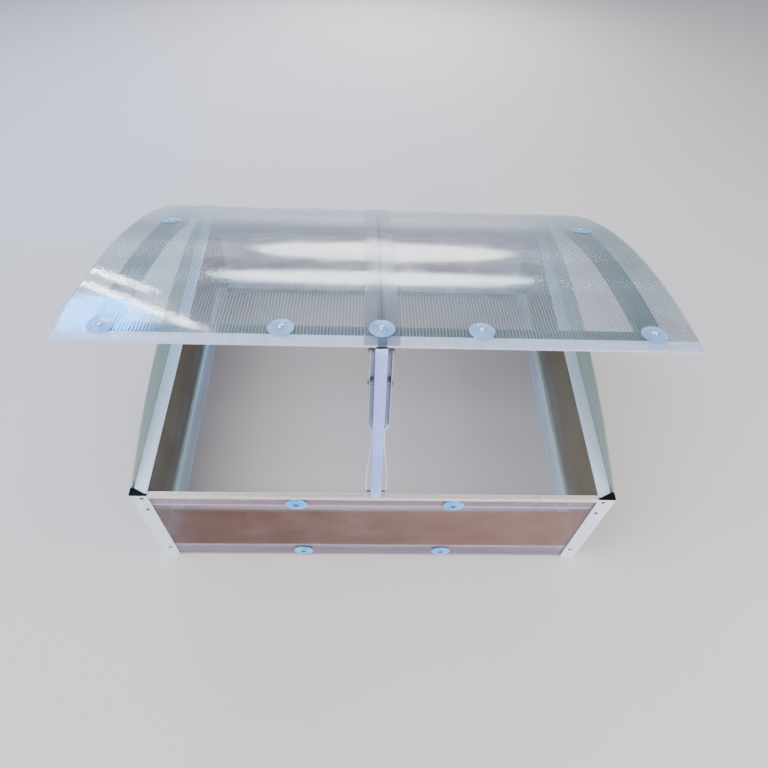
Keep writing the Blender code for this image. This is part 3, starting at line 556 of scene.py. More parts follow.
class Palette:
    """Every finish of the cold frame, each made once."""

    def __init__(self) -> None:
        """Build all finishes."""
        coated = MetalFinish("coated_angle", (0.70, 0.82, 0.98), (0.62, 0.74, 0.92), (0.95, 0.97, 1.0),
                             0.45, 0.33, 0.06)
        mill = MetalFinish("mill_aluminium", (0.62, 0.67, 0.78), (0.50, 0.56, 0.66), (0.86, 0.88, 0.92),
                           0.9, 0.30, 0.10)
        zinc = MetalFinish("zinc_steel", (0.13, 0.15, 0.20), (0.08, 0.09, 0.13), (0.45, 0.48, 0.54),
                           0.9, 0.34, 0.05)
        self.coated = {grain: coated.material(grain) for grain in Grain}
        self.mill = {grain: mill.material(grain) for grain in Grain}
        self.zinc = zinc.material(Grain.EVEN)
        film = SoilFilm(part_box("front_bottom_rail")[1].z + 0.015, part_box("front_top_rail")[0].z - 0.020,
                        (0.105, 0.036, 0.009), (0.25, 0.12, 0.078), 0.43)
        # The roof sheet's side layer is a painted reflection of dark surroundings, green-grey towards both
        # sides.
        self.roof_sheet = SheetFinish("clear_sheet_roof", (0.94, 0.95, 0.96), (0.70, 0.72, 0.78), 0.030, 0.11,
                                      (0.64, 0.80, 0.86), 0.085, 1.58,
                                      PaintedSideReflection((0.10, 0.18, 0.15), (0.16, 0.25, 0.22), 0.13), 1.5, 0.06)
        self.wall_sheet = SheetFinish("clear_sheet_wall", (0.96, 0.93, 0.95), (0.50, 0.46, 0.56), 0.02, 0.04,
                                      (0.60, 0.56, 0.66), 0.16, 1.40, film)
        gable_film = SoilFilm(film.low, film.high, (0.17, 0.095, 0.04), (0.27, 0.17, 0.09), 0.62)
        self.gable_sheet = SheetFinish("clear_sheet_gable", (0.86, 0.90, 0.88), (0.24, 0.30, 0.28), 0.07,
                                       0.06, (0.34, 0.40, 0.38), 0.16, 1.40, gable_film)
        self.trim = MetalFinish("edge_trim", (0.62, 0.55, 0.47), (0.52, 0.46, 0.40), (0.95, 0.93, 0.92),
                                0.45, 0.32, 0.05).material(Grain.ALONG_X)
        # Near-black centre rib: painted shade of the aluminium rib under the joining profile.
        self.shaded_centre_metal = MetalFinish("centre_rib", (0.05, 0.06, 0.075), (0.035, 0.045, 0.06),
                                        (0.3, 0.32, 0.36), 0.3, 0.45, 0.08).material(Grain.ALONG_Y)
        self.channel = MetalFinish("stay_channel", (0.30, 0.34, 0.46), (0.20, 0.24, 0.36), (0.95, 0.97, 1.0),
                                   0.85, 0.32, 0.06).material(Grain.ALONG_Z)
        self.tube = MetalFinish("stay_tube", (0.36, 0.46, 0.95), (0.31, 0.38, 0.80), (0.95, 0.97, 1.0),
                                0.45, 0.33, 0.06).material(Grain.ALONG_Z)
        self.dip = MouldedFinish("foot_dip", (0.05, 0.10, 0.17), (0.07, 0.13, 0.21), 0.4, 1.0, 0.2).material()
        # The front and back rails are the coated angle painted dark: painted shade, lilac on the top rail and
        # deep blue on the bottom rail.
        self.top_rail = MetalFinish("long_top_rail_painted_shade", (0.33, 0.27, 0.33), (0.26, 0.21, 0.26), (0.9, 0.9, 0.95),
                                    0.6, 0.35, 0.06).material(Grain.ALONG_X)
        self.bottom_rail = MetalFinish("long_bottom_rail_painted_shade", (0.13, 0.20, 0.30), (0.09, 0.14, 0.22),
                                       (0.8, 0.88, 0.95), 0.6, 0.35, 0.06).material(Grain.ALONG_X)
        # Near-white strips beside the long rails: painted reflection of the rails in the sheet.
        self.lip = MetalFinish("rail_reflection_strip", (0.80, 0.92, 1.0), (0.70, 0.84, 1.0), (1.0, 1.0, 1.0),
                               0.1, 0.25, 0.02).material(Grain.ALONG_X)
        # Dark green roof rails, ribs and bracket: painted shade of the aluminium frame under the sheet.
        self.shaded_roof_metal = {grain: MetalFinish("roof_frame_painted_shade", (0.030, 0.065, 0.060), (0.018, 0.045, 0.045),
                                              (0.30, 0.36, 0.36), 0.15, 0.45, 0.08).material(grain)
                           for grain in Grain}
        self.joiner = SheetFinish("clear_joiner", (0.87, 0.88, 0.91), (0.36, 0.38, 0.44), 0.12, 0.0,
                                  (0.42, 0.44, 0.50), 0.14, 1.45).material(None)
        self.cut_edge = MouldedFinish("sheet_cut_edge", (0.90, 0.86, 0.90), (0.74, 0.72, 0.80), 0.4, 0.78,
                                      0.3).material()
        self.tape = MouldedFinish("edge_tape", (0.90, 0.90, 0.97), (0.78, 0.80, 0.92), 0.3, 0.36,
                                  0.6).material()
        self.black = MouldedFinish("black_plastic", (0.001, 0.001, 0.001), (0.003, 0.003, 0.004), 0.45, 1.0,
                                   0.0, 1.2).material()
        self.packer = MouldedFinish("grey_packer", (0.06, 0.08, 0.13), (0.09, 0.12, 0.18), 0.45, 1.0,
                                    0.1).material()
        self.milky = MouldedFinish("milky_washer", (0.26, 0.50, 0.80), (0.42, 0.64, 0.88), 0.20, 0.56,
                                   0.5).material()
        # Brighter, denser blue copy of the washer finish for the walls: painted light.
        self.milky_wall_lit = MouldedFinish("milky_washer_wall_painted_light", (0.04, 0.38, 1.0), (0.18, 0.58, 1.0), 0.20, 0.86,
                                        0.6).material()
        # Lighter copy of the screw finish for the roof washers' screws: painted highlight.
        self.bright = MetalFinish("bright_screw", (0.80, 0.84, 0.90), (0.60, 0.64, 0.72), (1.0, 1.0, 1.0),
                                  1.0, 0.22, 0.05).material(Grain.EVEN)


# ------------------------------------------------------------------ the roof's own coordinates
@dataclass(frozen=True)
class Arch:
    """The roof sheets' arch as it stands open: t runs along its underside from the front edge."""

    centre_y: float
    centre_z: float
    radius: float
    start: float

    @classmethod
    def from_sheet(cls, node: str) -> "Arch":
        """Fit the arch to the rim of a roof sheet; the first fit splits its inner rim from its outer."""
        points = node_points(node)
        rim = points[np.abs(points[:, 0] - points[:, 0].min()) < 1e-4][:, 1:]
        cy, cz, middle = fitted_circle(rim)
        inner = rim[np.hypot(rim[:, 0] - cy, rim[:, 1] - cz) < middle]
        cy, cz, radius = fitted_circle(inner)
        angles = np.arctan2(inner[:, 0] - cy, inner[:, 1] - cz)
        return cls(cy, cz, radius, float(angles.min()))

    def place(self, x: Array, t: Array, offset: Array) -> Array:
        """Places on the arch: the angle grows by t over the radius, and the offset adds to the radius."""
        x, t, offset = np.broadcast_arrays(x, t, offset)
        angle = self.start + t / self.radius
        reach = self.radius + offset
        return np.stack([x, self.centre_y + reach * np.sin(angle), self.centre_z + reach * np.cos(angle)], -1)

    def outward(self, t: float) -> Vector:
        """Outward direction at t."""
        angle = self.start + t / self.radius
        return Vector((0.0, math.sin(angle), math.cos(angle)))

    def extent(self, node: str) -> tuple[Array, Array]:
        """Lowest and highest (x, t, offset) of a node."""
        points = node_points(node)
        dy, dz = points[:, 1] - self.centre_y, points[:, 2] - self.centre_z
        t = (np.arctan2(dy, dz) - self.start) * self.radius
        own = np.stack([points[:, 0], t, np.hypot(dy, dz) - self.radius], -1)
        return own.min(0), own.max(0)


# ------------------------------------------------------------------ twin-wall sheet
@dataclass(frozen=True)
class TwinWall:
    """Section of a hollow sheet: two crowned skins on thin webs, open at the flutes' ends."""

    pitch: float = 0.0057
    skin: float = 0.0005
    web: float = 0.0004
    crown: float = 0.00007
    columns: int = 4

    def count(self, width: float) -> int:
        """Whole flutes that fit a width."""
        return max(1, round(width / self.pitch))

    def solid(self, across: tuple[float, float], depth: tuple[float, float], stations: Array,
              place: Callable[[Array, Array, Array], Array]) -> tuple[Array, list[Array]]:
        """Build the closed hollow sheet.

        The skins follow depth minus crown times the squared cosine of half a turn per flute. Each flute is
        a box-shaped hole, and both ends are framed round every hole.

        Args:
            across: Start and end across the flutes.
            depth: Inner and outer face.
            stations: Values along the flutes.
            place: Maps (across, depth, station) arrays to places.

        Returns:
            Points and faces, the skins and webs first and the two cut ends last.
        """
        cells = self.count(across[1] - across[0])
        step = (across[1] - across[0]) / cells
        row = np.linspace(across[0], across[1], cells * self.columns + 1)
        dip = self.crown * np.cos(math.pi * np.arange(len(row)) / self.columns) ** 2
        left = across[0] + step * np.arange(cells) + self.web / 2
        right = left + step - self.web
        low, high = np.full(cells, depth[0] + self.skin), np.full(cells, depth[1] - self.skin)
        holes_a = np.stack([left, left, right, right], -1)
        holes_d = np.stack([high, low, low, high], -1)
        a = np.concatenate([row, row, holes_a.ravel()])
        d = np.concatenate([depth[1] - dip, depth[0] + dip, holes_d.ravel()])
        points = place(a[None, :], d[None, :], stations[:, None])
        points = points.reshape(len(stations), len(a), 3)

        top = np.arange(len(row))
        bottom = top + len(row)
        holes = 2 * len(row) + np.arange(4 * cells).reshape(cells, 4)
        around = np.concatenate([top, bottom[::-1]])
        edges = np.concatenate([np.stack([around, np.roll(around, -1)], -1),
                                np.stack([holes, np.roll(holes, -1, 1)], -1).reshape(-1, 2)])
        base = len(a) * np.arange(len(stations) - 1)[:, None]
        quads = np.stack([base + edges[:, 0], base + edges[:, 1], base + len(a) + edges[:, 1],
                          base + len(a) + edges[:, 0]], -1).reshape(-1, 4)

        spans = self.columns * np.arange(cells)[:, None] + np.arange(self.columns + 1)
        wide = [np.concatenate([top[spans][:, ::-1], holes[:, [0, 3]]], 1),
                np.concatenate([bottom[spans], holes[:, [2, 1]]], 1)]
        first, last = spans[:, 0], spans[:, -1]
        narrow = [np.stack([holes[:, 1], holes[:, 0], top[first], bottom[first]], -1),
                  np.stack([holes[:, 3], holes[:, 2], bottom[last], top[last]], -1)]
        far = len(a) * (len(stations) - 1)
        ends = wide + narrow + [block[:, ::-1] + far for block in wide + narrow]
        return points.reshape(-1, 3), [quads] + ends


# ------------------------------------------------------------------ fixings
@dataclass(frozen=True)
class Fixings:
    """Makes washers, screws, bolts and nuts."""

    palette: Palette
    washer_radius: float = 0.0225
    head_radius: float = 0.0048
    post_head_radius: float = 0.0042

    def washer(self, name: str, body: str, place: Vector, axis: Vector, replaces: Sequence[str] = ()) -> None:
        """Domed washer with a rolled rim, a raised ring round its hole and a cross-head screw.

        Args:
            name: Name of the washer; the screw adds _screw to it.
            body: The body it rides on.
            place: Middle of its seat.
            axis: Direction away from the sheet.
            replaces: Construction nodes that it stands for.
        """
        radius = self.washer_radius
        crown = np.linspace(0.93, 0.36, 7)
        dome = [(radius * k, 0.0013 + 0.0019 * math.cos(math.pi / 2 * k) ** 0.8) for k in crown]
        profile = [(0.0005, 0.0003), (radius * 0.90, 0.0003), (radius * 0.985, 0.0005), (radius, 0.0010),
                   (radius * 0.985, 0.0015), (radius * 0.95, 0.0016), *dome, (0.0072, 0.0032),
                   (0.0068, 0.0036), (0.0060, 0.0036), (0.0056, 0.0030), (0.0005, 0.0030)]
        # Roof washers' screws get the lighter finish as a painted highlight; the wall washers' screws stay
        # dark zinc.
        # The wall washers' brighter blue finish is painted light.
        milky, metal = ((self.palette.milky, self.palette.bright) if body == "roof"
                        else (self.palette.milky_wall_lit, self.palette.zinc))
        piece = put_mesh(name, *lathed(profile, place, axis, 48), smooth_angle=50)
        settle(piece, body, [milky], replaces)
        self.screw(f"{name}_screw", body, place + axis * 0.0029, axis, self.head_radius, 0.0022, metal)

    def screw(self, name: str, body: str, place: Vector, axis: Vector, radius: float, height: float,
              metal: bpy.types.Material | None = None) -> None:
        """Pan head with a cross recess, seen as a grid of rings sunk where the cross lies.

        The head's height falls as the fourth power of the distance from its middle. The recess sinks the
        points whose distance to either of two crossed bars is under the bar's half width.

        Args:
            name: Name of the screw.
            body: The body it rides on.
            place: Middle of the head's seat.
            axis: Direction away from the seat.
            radius: Radius of the head.
            height: Height of the head.
            metal: Its finish, dark zinc if left out.
        """
        up = np.array(axis.normalized())
        across = np.array(axis.orthogonal().normalized())
        side = np.cross(up, across)
        angle = np.linspace(0, math.tau, 32, endpoint=False)
        share = np.array([1.0, 1.0, 0.97, 0.90, 0.78, 0.62, 0.50, 0.38, 0.26, 0.14, 0.03])
        u, v = share[:, None] * np.cos(angle), share[:, None] * np.sin(angle)
        rise = height * (1 - 0.55 * share[:, None] ** 4) * np.ones_like(u)
        bar = np.minimum(np.abs(u) + 9 * np.maximum(np.abs(v) - 0.55, 0),
                         np.abs(v) + 9 * np.maximum(np.abs(u) - 0.55, 0))
        rise -= height * 0.5 * np.clip((0.17 - bar) / 0.06, 0, 1)
        rise[0] = 0.0
        rings = (np.array(place) + radius * (u[..., None] * across + v[..., None] * side)
                 + rise[..., None] * up)
        piece = put_mesh(name, *swept(rings), smooth_angle=40)
        settle(piece, body, [metal or self.palette.zinc])

    def hexagon(self, name: str, body: str, place: Vector, axis: Vector, radius: float, height: float,
                replaces: Sequence[str] = ()) -> None:
        """Hexagon nut or bolt head with turned-down corners and a raised core.

        Args:
            name: Name of the piece.
            body: The body it rides on.
            place: Middle of its seat.
            axis: Direction away from the seat.
            radius: Reach of its corners.
            height: Its height.
            replaces: Construction nodes that it stands for.
        """
        profile = [(radius * 0.9, 0.0), (radius, height * 0.15), (radius, height * 0.82),
                   (radius * 0.86, height), (radius * 0.5, height), (radius * 0.44, height * 1.25),
                   (0.0003, height * 1.25)]
        piece = put_mesh(name, *lathed(profile, place, axis, 6), smooth_angle=20)
        settle(piece, body, [self.palette.zinc], replaces)


# ------------------------------------------------------------------ the box
@dataclass
class BaseBox:
    """The four walls with their posts, rails, trims and caps."""

    palette: Palette
    fixings: Fixings
    section: TwinWall = field(default_factory=TwinWall)
    screw_set_in: float = 0.0235
    screw_heights: tuple[float, ...] = (0.048, 0.250, 0.300)
    softening: float = 0.0005
    # Size of the strips that paint the long rails' reflection in the sheet.
    lip: float = 0.0055
    reflection_strip_depth: float = 0.0022
    reflection_strip_gap: float = 0.0001
    reflection_strip_round: float = 0.0009

    def build(self) -> None:
        """Build every piece of the box."""
        self.build_straight_walls()
        self.build_gables()
        self.build_profiles()
        self.build_caps()
        self.build_fixings()

    def build_straight_walls(self) -> None:
        """Front and back sheets with upright flutes; the front one is cut down at the stay's seat."""
        seat_low, seat_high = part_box("stay_seat")
        for name in ("front_sheet", "back_sheet"):
            low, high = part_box(name)
            if name == "front_sheet":
                cut = seat_high.x + 0.0003
                runs = [(low.x, -cut, high.z), (-cut, cut, seat_low.z - 0.0003), (cut, high.x, high.z)]
            else:
                runs = [(low.x, high.x, high.z)]
            parts = []
            for start, end, top in runs:
                def place(a: Array, d: Array, s: Array, top: float = top) -> Array:
                    a, d, s = np.broadcast_arrays(a, d, s)
                    return np.stack([a, d, low.z + (top - low.z) * s], -1)

                parts.append(self.section.solid((start + 0.00005, end - 0.00005), (low.y, high.y),
                                                np.linspace(0, 1, 5), place))
            points, faces = join_arrays(parts)
            marks = ([0] + [1] * 8) * len(parts)
            piece = put_mesh(f"{name}_twin_wall", points, faces, marks, 30)
            width = (high.x - low.x) / self.section.count(high.x - low.x)
            sheet = self.palette.wall_sheet.material(Flutes.ACROSS_X, width, low.x)
            settle(piece, "base", [sheet, self.palette.cut_edge], [name])

    def build_gables(self) -> None:
        """Side sheets: upright flutes of the wall's height at the corners and of the arch's between them."""
        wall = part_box("front_sheet")[1].z
        for name in ("left_sheet", "right_sheet"):
            low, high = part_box(name)
            points = node_points(name)
            crest = points[points[:, 2] > wall + 0.001][:, 1:]
            cy, cz, radius = fitted_circle(crest)
            first, last = crest[:, 0].min(), crest[:, 0].max()

            def place(a: Array, d: Array, s: Array) -> Array:
                a, d, s = np.broadcast_arrays(a, d, s)
                arched = cz + np.sqrt(radius ** 2 - (a - cy) ** 2)
                top = np.where((a > first) & (a < last), arched, wall)
                return np.stack([d, a, low.z + (top - low.z) * s], -1)

            shape = self.section.solid((low.y, high.y), (low.x, high.x), np.linspace(0, 1, 5), place)
            piece = put_mesh(f"{name}_twin_wall", *shape, [0] + [1] * 8, 30)
            width = (high.y - low.y) / self.section.count(high.y - low.y)
            sheet = self.palette.gable_sheet.material(Flutes.ACROSS_Y, width, low.y)
            settle(piece, "base", [sheet, self.palette.cut_edge], [name])

    def build_profiles(self) -> None:
        """Corner posts, rails, trims, hinges and the stay's seat, each with softened edges."""
        for end in ("front", "back"):
            for side in ("left", "right"):
                self.dress(f"{end}_{side}_post", self.palette.coated[Grain.ALONG_Z])
            # The front and back rails take darkened copies of the coated angle: painted shade.
            for part, finish in (("bottom_rail", self.palette.bottom_rail),
                                 ("top_rail", self.palette.top_rail), ("edge_trim", self.palette.trim)):
                self.dress(f"{end}_{part}", finish)
        for side in ("left", "right"):
            for part in ("bottom_rail", "top_rail"):
                self.dress(f"{side}_{part}", self.palette.coated[Grain.ALONG_Y])
            for part in ("wall_leaf", "pin"):
                node = f"hinge_{side}_{part}"
                settle(softened_copy(node, f"{node}_dressed", 0.0003), "base",
                       [self.palette.zinc], [node])
        self.build_rail_reflection_strips()
        piece = softened_copy("stay_seat", "stay_seat_dressed", 0.0004)
        settle(piece, "base", [self.palette.mill[Grain.ALONG_X]], ["stay_seat"])

    def dress(self, node: str, finish: bpy.types.Material) -> None:
        """Replace a profile by its softened copy in a finish."""
        piece = softened_copy(node, f"{node}_dressed", self.softening)
        settle(piece, "base", [finish], [node])

    def build_rail_reflection_strips(self) -> None:
        """Bright strips on the rails of both long walls, under the top rail and over the bottom rail: a
        painted reflection of each rail in the sheet.
        """
        for end, way in (("front", 1), ("back", -1)):
            for part, up in (("top_rail", -1), ("bottom_rail", 1)):
                low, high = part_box(f"{end}_{part}")
                outer = low.y if way > 0 else high.y
                inner = outer + way * self.reflection_strip_depth
                start = (low.z if up < 0 else high.z) + up * self.reflection_strip_gap
                stop = start + up * self.lip
                corners = np.array([(outer, start), (inner, start), (inner, stop), (outer, stop)])
                outline = rounded(corners, self.reflection_strip_round, 4)
                x = np.array([low.x, high.x])
                rings = np.stack(np.broadcast_arrays(x[:, None], outline[:, 0], outline[:, 1]), -1)
                piece = put_mesh(f"{end}_{part}_lip", *swept(rings))
                settle(piece, "base", [self.palette.lip])

    def build_caps(self) -> None:
        """Near-black corner caps with rounded edges."""
        for end in ("front", "back"):
            for side in ("left", "right"):
                node = f"{end}_{side}_cap"
                piece = softened_copy(node, f"{node}_dressed", 0.0009, 3)
                settle(piece, "base", [self.palette.black], [node])

    def build_fixings(self) -> None:
        """Washers on both long walls, screws in every post leg and in the hinges' wall leaves."""
        front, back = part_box("front_sheet")[0].y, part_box("back_sheet")[1].y
        for row in ("upper", "lower"):
            for side in ("left", "right"):
                node = f"wall_washer_{row}_{side}"
                low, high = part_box(node)
                x, z = (low.x + high.x) / 2, (low.z + high.z) / 2
                self.fixings.washer(f"{node}_dome", "base", Vector((x, front, z)), Vector((0, -1, 0)), [node])
                self.fixings.washer(f"back_washer_{row}_{side}", "base", Vector((x, back, z)),
                                    Vector((0, 1, 0)))
        radius = self.fixings.post_head_radius
        for end, face in (("front", -1), ("back", 1)):
            for side, way in (("left", -1), ("right", 1)):
                low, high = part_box(f"{end}_{side}_post")
                outer_y = low.y if face < 0 else high.y
                outer_x = low.x if way < 0 else high.x
                for k, z in enumerate(self.screw_heights):
                    self.fixings.screw(f"{end}_{side}_post_screw_{k}", "base",
                                       Vector((outer_x - way * self.screw_set_in, outer_y, z)),
                                       Vector((0, face, 0)), radius, 0.0016)
                    self.fixings.screw(f"{end}_{side}_post_side_screw_{k}", "base",
                                       Vector((outer_x, outer_y - face * self.screw_set_in, z)),
                                       Vector((way, 0, 0)), radius, 0.0016)
        for side in ("left", "right"):
            low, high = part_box(f"hinge_{side}_wall_leaf")
            plate = node_points(f"hinge_{side}_wall_leaf")
            outer = plate[plate[:, 2] < low.z + 0.010][:, 1].max()
            for k, share in enumerate((0.2, 0.8)):
                place = Vector((low.x + (high.x - low.x) * share, outer, low.z + 0.012))
                self.fixings.screw(f"hinge_{side}_wall_screw_{k}", "base", place, Vector((0, 1, 0)),
                                   0.0040, 0.0016)


# ------------------------------------------------------------------ the roof
@dataclass
class ArchedRoof:
    """The two curved sheets with their joining profile, ribs, rails, washers and edge tape."""

    palette: Palette
    fixings: Fixings
    section: TwinWall = field(default_factory=TwinWall)
    steps: int = 30
    tape_wall: float = 0.00015
    tape_top: float = 0.0235
    tape_under: float = 0.0090
    clip_half: float = 0.0072
    clip_wall: float = 0.0003
    clip_gap: float = 0.00002
    clip_reach: float = 0.0185
    plate_half: float = 0.0105
    plate_lift: float = 0.0001
    plate_height: float = 0.0029
    plate_wall: float = 0.00015

    def __post_init__(self) -> None:
        """Read the arch from the construction."""
        self.arch = Arch.from_sheet("roof_sheet_left")

    def build(self) -> None:
        """Build every piece of the roof."""
        self.build_sheets()
        self.build_joiner()
        self.build_frame()
        self.build_washers()
        self.build_hinge_leaves()

    def build_sheets(self) -> None:
        """Twin-wall sheets with flutes from front to back, and the tape that seals their front ends."""
        for side in ("left", "right"):
            node = f"roof_sheet_{side}"
            low, high = self.arch.extent(node)
            shape = self.section.solid((low[0], high[0]), (low[2], high[2]),
                                       np.linspace(low[1], high[1], self.steps + 1),
                                       lambda a, d, s: self.arch.place(a, s, d))
            piece = put_mesh(f"{node}_twin_wall", *shape, [0] + [1] * 8, 30)
            width = (high[0] - low[0]) / self.section.count(high[0] - low[0])
            sheet = self.palette.roof_sheet.material(Flutes.ACROSS_X, width, low[0])
            settle(piece, "roof", [sheet, self.palette.cut_edge], [node])
            self.build_tape(f"roof_edge_tape_{side}", low, high)

    def build_tape(self, name: str, low: Array, high: Array) -> None:
        """Thin tape folded over the open flutes along the front edge.

        Its section runs under the sheet, round the cut edge and back over the top, with a constant wall.
        """
        gap, wall = 0.00004, self.tape_wall
        under, over = low[2] - gap, high[2] + gap
        inner = [(self.tape_under, under), (-gap, under), (-gap, over), (self.tape_top, over)]
        outer = [(self.tape_top, over + wall), (-gap - wall, over + wall), (-gap - wall, under - wall),
                 (self.tape_under, under - wall)]
        outline = np.array(inner + outer)
        across = np.linspace(low[0] + 0.0004, high[0] - 0.0004, 41)
        rings = self.arch.place(across[:, None], outline[None, :, 0], outline[None, :, 1])
        piece = put_mesh(name, *swept(rings), smooth_angle=30)
        settle(piece, "roof", [self.palette.tape])

    def along(self, outline: Array, start: float, end: float, steps: int) -> tuple[Array, list[Array]]:
        """Carry an (x, offset) outline along the arch from start to end."""
        t = np.linspace(start, end, steps + 1)
        return swept(self.arch.place(outline[None, :, 0], t[:, None], outline[None, :, 1]))

    def build_joiner(self) -> None:
        """H profile over the meeting edges of the two sheets: two flanges joined by a thin web."""
        low, high = self.arch.extent("roof_joiner")
        sheet = self.arch.extent("roof_sheet_left")
        gap, web = 0.0003, -sheet[1][0] - 0.0003
        top, bottom = sheet[1][2] + gap, sheet[0][2] - gap
        outline = np.array([(low[0], low[2]), (high[0], low[2]), (high[0], bottom), (web, bottom), (web, top),
                            (high[0], top), (high[0], high[2]), (low[0], high[2]), (low[0], top),
                            (-web, top), (-web, bottom), (low[0], bottom)])
        shape = self.along(rounded(outline, 0.0005), low[1], high[1], self.steps * 2)
        piece = put_mesh("roof_joiner_profile", *shape)
        settle(piece, "roof", [self.palette.joiner], ["roof_joiner"])

    def build_frame(self) -> None:
        """Ribs, rails and the stay's bracket, and the end clip of the joining profile."""
        for node, grain in (("roof_front_rail", Grain.ALONG_X), ("roof_back_rail", Grain.ALONG_X),
                            ("roof_side_rib_left", Grain.ALONG_Y), ("roof_side_rib_right", Grain.ALONG_Y),
                            ("roof_centre_rib", Grain.ALONG_Y), ("stay_bracket", Grain.EVEN)):
            piece = softened_copy(node, f"{node}_dressed", 0.0003)
            middle = node == "roof_centre_rib"
            # The near-black and dark green finishes are painted shade of the frame under the sheet.
            finish = self.palette.shaded_centre_metal if middle else self.palette.shaded_roof_metal[grain]
            settle(piece, "roof", [finish], [node])
        self.build_end_clip()

    def build_end_clip(self) -> None:
        """Dark clip over the joining profile's front end and the black plate before it.

        The clip is a plate on top of the profile, folded down over its end. Both are (t, offset) outlines
        carried across the roof.
        """
        joiner = self.arch.extent("roof_joiner")
        under, gap, wall = joiner[0][2], self.clip_gap, self.clip_wall
        top, end = joiner[1][2] + gap, joiner[0][1] - gap
        inner = [(self.clip_reach, top), (end, top), (end, under)]
        outer = [(end - wall, under), (end - wall, top + wall), (self.clip_reach, top + wall)]
        outline = rounded(np.array(inner + outer), self.clip_wall / 3)
        self.carry_across("roof_joiner_end_clip", outline, self.clip_half, 9, self.palette.packer)
        front = end - wall - gap
        low, high = under + self.plate_lift, under + self.plate_lift + self.plate_height
        block = np.array([(front, low), (front, high), (front - self.plate_wall, high),
                          (front - self.plate_wall, low)])
        self.carry_across("roof_joiner_end_plate", block, self.plate_half, 5, self.palette.black)

    def carry_across(self, name: str, outline: Array, half: float, stations: int,
                     finish: bpy.types.Material) -> None:
        """Carry a (t, offset) outline across the roof from -half to half and settle it in the given finish.
        """
        across = np.linspace(-half, half, stations)
        rings = self.arch.place(across[:, None], outline[None, :, 0], outline[None, :, 1])
        settle(put_mesh(name, *swept(rings)), "roof", [finish])

    def build_washers(self) -> None:
        """Washers of the front row and the sides, and a back row over the back rail."""
        sheet_top = self.arch.extent("roof_sheet_left")[1][2]
        joiner_top = self.arch.extent("roof_joiner")[1][2]
        rail = self.arch.extent("roof_back_rail")
        back_t = (rail[0][1] + rail[1][1]) / 2
        nodes = [n for n in frame["nodes"] if n.startswith("roof_washer_")]
        for node in sorted(nodes):
            low, high = self.arch.extent(node)
            x, t = (low[0] + high[0]) / 2, (low[1] + high[1]) / 2
            self.roof_washer(f"{node}_dome", x, t, joiner_top if abs(x) < 0.01 else sheet_top, [node])
            if "front" in node:
                name = node.replace("front", "back") + "_dome"
                self.roof_washer(name, x, back_t, joiner_top if abs(x) < 0.01 else sheet_top, [])

    def roof_washer(self, name: str, x: float, t: float, offset: float, replaces: Sequence[str]) -> None:
        """One washer on the roof, square to the arch."""
        place = Vector(self.arch.place(np.array(x), np.array(t), np.array(offset)))
        self.fixings.washer(name, "roof", place, self.arch.outward(t), replaces)

    def build_hinge_leaves(self) -> None:
        """Roof leaves of both hinges."""
        for side in ("left", "right"):
            node = f"hinge_{side}_roof_leaf"
            piece = softened_copy(node, f"{node}_dressed", 0.0003)
            settle(piece, "roof", [self.palette.zinc], [node])


